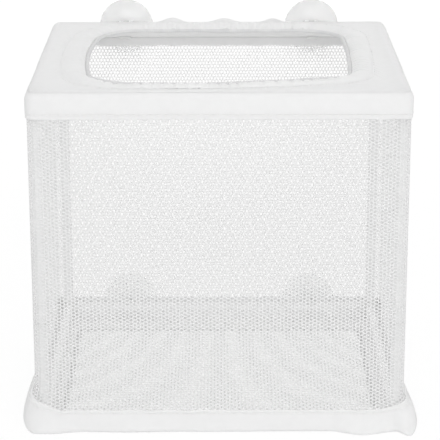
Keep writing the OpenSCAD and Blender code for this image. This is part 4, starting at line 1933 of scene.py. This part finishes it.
@dataclass
class Studio:
    """Camera, lamps and floor of the photograph."""

    bag: Bag
    camera_back: float = 807.73
    camera_height: float = 323.90
    pitch_deg: float = 17.353
    roll_deg: float = -0.106
    focal_px: float = 1911.84
    middle_px: float = 219.21
    image_px: float = 440.0
    sensor_mm: float = 36.0
    sky: float = 0.72
    key_watts: float = 7.0
    back_watts: float = 6.0
    lamp_size: float = 1.3
    front_place: tuple[float, float, float] = (0.25, -1.5, 0.55)
    back_place: tuple[float, float, float] = (0.0, 1.5, 0.22)
    lamp_target: tuple[float, float, float] = (0.0, 0.0, 0.075)
    foot_front: float = -74.0
    floor_reach: float = 3000.0
    floor_gap: float = 0.05
    paper: str = "#F6F6F6"
    paper_glow: float = 1.06
    glow_share: float = 0.8
    bounces: int = 24

    def camera(self) -> None:
        """Sets the camera at the photograph's place."""
        data = bpy.data.cameras.new("photo_camera")
        data.sensor_width = self.sensor_mm
        data.lens = self.focal_px / self.image_px * self.sensor_mm
        data.shift_x = (self.image_px / 2 - self.middle_px) / self.image_px
        data.clip_start = 0.01
        made = bpy.data.objects.new("photo_camera", data)
        place = self.bag.to_frame(np.array([0.0, -self.camera_back, self.camera_height]))
        turn = Matrix.Rotation(math.radians(90 - self.pitch_deg), 4, "X")
        turn = turn @ Matrix.Rotation(math.radians(self.roll_deg), 4, "Z")
        made.matrix_world = Matrix.Translation(Vector(place)) @ turn
        bpy.context.scene.collection.objects.link(made)
        bpy.context.scene.camera = made

    def world(self) -> None:
        """Even light from all round, and pure white where the camera sees it."""
        world = bpy.data.worlds.new("white_tent")
        bpy.context.scene.world = world
        world.use_nodes = True
        tree = world.node_tree
        background = tree.nodes["Background"]
        background.inputs["Color"].default_value = (1, 1, 1, 1)
        seen = self.seen_directly(tree)
        strength = add_node(
            tree, "ShaderNodeMapRange", {"To Min": self.sky, "To Max": 1.0}, {"Value": seen}
        )
        tree.links.new(strength.outputs["Result"], background.inputs["Strength"])

    @staticmethod
    def seen_directly(tree: bpy.types.NodeTree) -> bpy.types.NodeSocket:
        """Tells the rays from the camera, off gloss or through a clear piece from the rest.

        Args:
            tree: The node tree.

        Returns:
            A socket that is 1 for those rays.
        """
        rays = add_node(tree, "ShaderNodeLightPath", {}, {})
        some = add_node(
            tree, "ShaderNodeMath", {"operation": "MAXIMUM"},
            {0: rays.outputs["Is Camera Ray"], 1: rays.outputs["Is Glossy Ray"]},
        )
        any_of = add_node(
            tree, "ShaderNodeMath", {"operation": "MAXIMUM"},
            {0: some.outputs[0], 1: rays.outputs["Is Transmission Ray"]},
        )
        return any_of.outputs[0]

    def lamp(self, name: str, place: tuple[float, float, float], watts: float) -> None:
        """Adds a soft lamp that looks at the middle of the part.

        Args:
            name: Name of the lamp.
            place: Where it stands, in metres.
            watts: Its power.
        """
        data = bpy.data.lights.new(name, "AREA")
        data.size = self.lamp_size
        data.energy = watts
        made = bpy.data.objects.new(name, data)
        made.visible_camera = False
        made.location = place
        aim = Vector(self.lamp_target) - Vector(place)
        made.rotation_euler = aim.to_track_quat("-Z", "Y").to_euler()
        bpy.context.scene.collection.objects.link(made)

    def floor(self) -> None:
        """The pale floor, leaned to touch the hem's front and the rims of the lower cups."""
        bag = self.bag
        front = np.array([self.foot_front, 0.0])
        back = np.array([bag.cup_rim, bag.cup_low])
        slope = (back[1] - front[1]) / (back[0] - front[0])
        reach = self.floor_reach
        bpy.ops.object.select_all(action="DESELECT")
        bpy.ops.mesh.primitive_plane_add(size=1)
        made = bpy.context.object
        made.name = "studio_floor"
        for vertex in made.data.vertices:
            x, y = math.copysign(reach, vertex.co.x), math.copysign(reach, vertex.co.y)
            z = front[1] + slope * (y - front[0]) - self.floor_gap
            vertex.co = Vector(bag.to_frame(np.array([x, y, z])))
        made.data.materials.append(self.floor_material())

    def floor_material(self) -> bpy.types.Material:
        """White paper that keeps a faint shadow of the part.

        Returns:
            The material.
        """
        made = bpy.data.materials.new("white_paper_floor")
        made.use_nodes = True
        tree = made.node_tree
        tree.nodes.remove(tree.nodes["Principled BSDF"])
        paper = add_node(tree, "ShaderNodeBsdfDiffuse", {"Color": linear(self.paper)}, {})
        glow = add_node(
            tree, "ShaderNodeEmission", {"Color": (1, 1, 1, 1), "Strength": self.paper_glow}, {}
        )
        share = add_node(
            tree, "ShaderNodeMath", {"operation": "MULTIPLY", 1: self.glow_share},
            {0: self.seen_directly(tree)},
        )
        mixed = add_node(
            tree, "ShaderNodeMixShader", {},
            {0: share.outputs[0], 1: paper.outputs["BSDF"], 2: glow.outputs["Emission"]},
        )
        tree.links.new(mixed.outputs["Shader"], tree.nodes["Material Output"].inputs["Surface"])
        return made

    def build(self) -> None:
        """Sets up the camera, the light and the floor."""
        self.camera()
        self.world()
        self.lamp("front_lamp", self.front_place, self.key_watts)
        self.lamp("backdrop_lamp", self.back_place, self.back_watts)
        self.floor()
        bpy.context.scene.view_settings.view_transform = "Standard"
        light_paths = bpy.context.scene.cycles
        light_paths.max_bounces = self.bounces
        light_paths.diffuse_bounces = self.bounces


def write_sizes() -> None:
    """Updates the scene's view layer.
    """
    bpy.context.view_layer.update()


def main() -> None:
    """Builds and dresses the whole part."""
    logging.basicConfig(level=logging.INFO, format="%(name)s: %(message)s")
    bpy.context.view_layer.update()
    bag = Bag.measured()
    drape = Drape()
    Studio(bag).build()
    Frame().dress()
    band = TopBand(bag, drape)
    panel = TopPanel(bag, drape, band=band)
    hem = BottomHem(bag, drape)
    band_cloth, band_seams = band.build()
    LOG.info("%s: the band round the top", band_cloth.name)
    top_cloth, top_seams = panel.build()
    LOG.info("%s: the top with its gathers", top_cloth.name)
    cord = MouthElastic(bag, panel).build()
    LOG.info("%s: the elastic in the mouth", cord.name)
    hem_cloth, hem_seams = hem.build()
    LOG.info("%s: the hem round the foot", hem_cloth.name)
    net = NetBag(bag, drape)
    for side in Side:
        LOG.info("%s: net wall", net.wall(side).name)
    LOG.info("%s: net floor", net.floor().name)
    stitching = Stitching(bag)
    stitching.sew("stitches_band", band_seams)
    stitching.sew("stitches_top", top_seams)
    stitching.sew("stitches_hem", hem_seams)
    write_sizes()


if __name__ == "__main__":
    main()
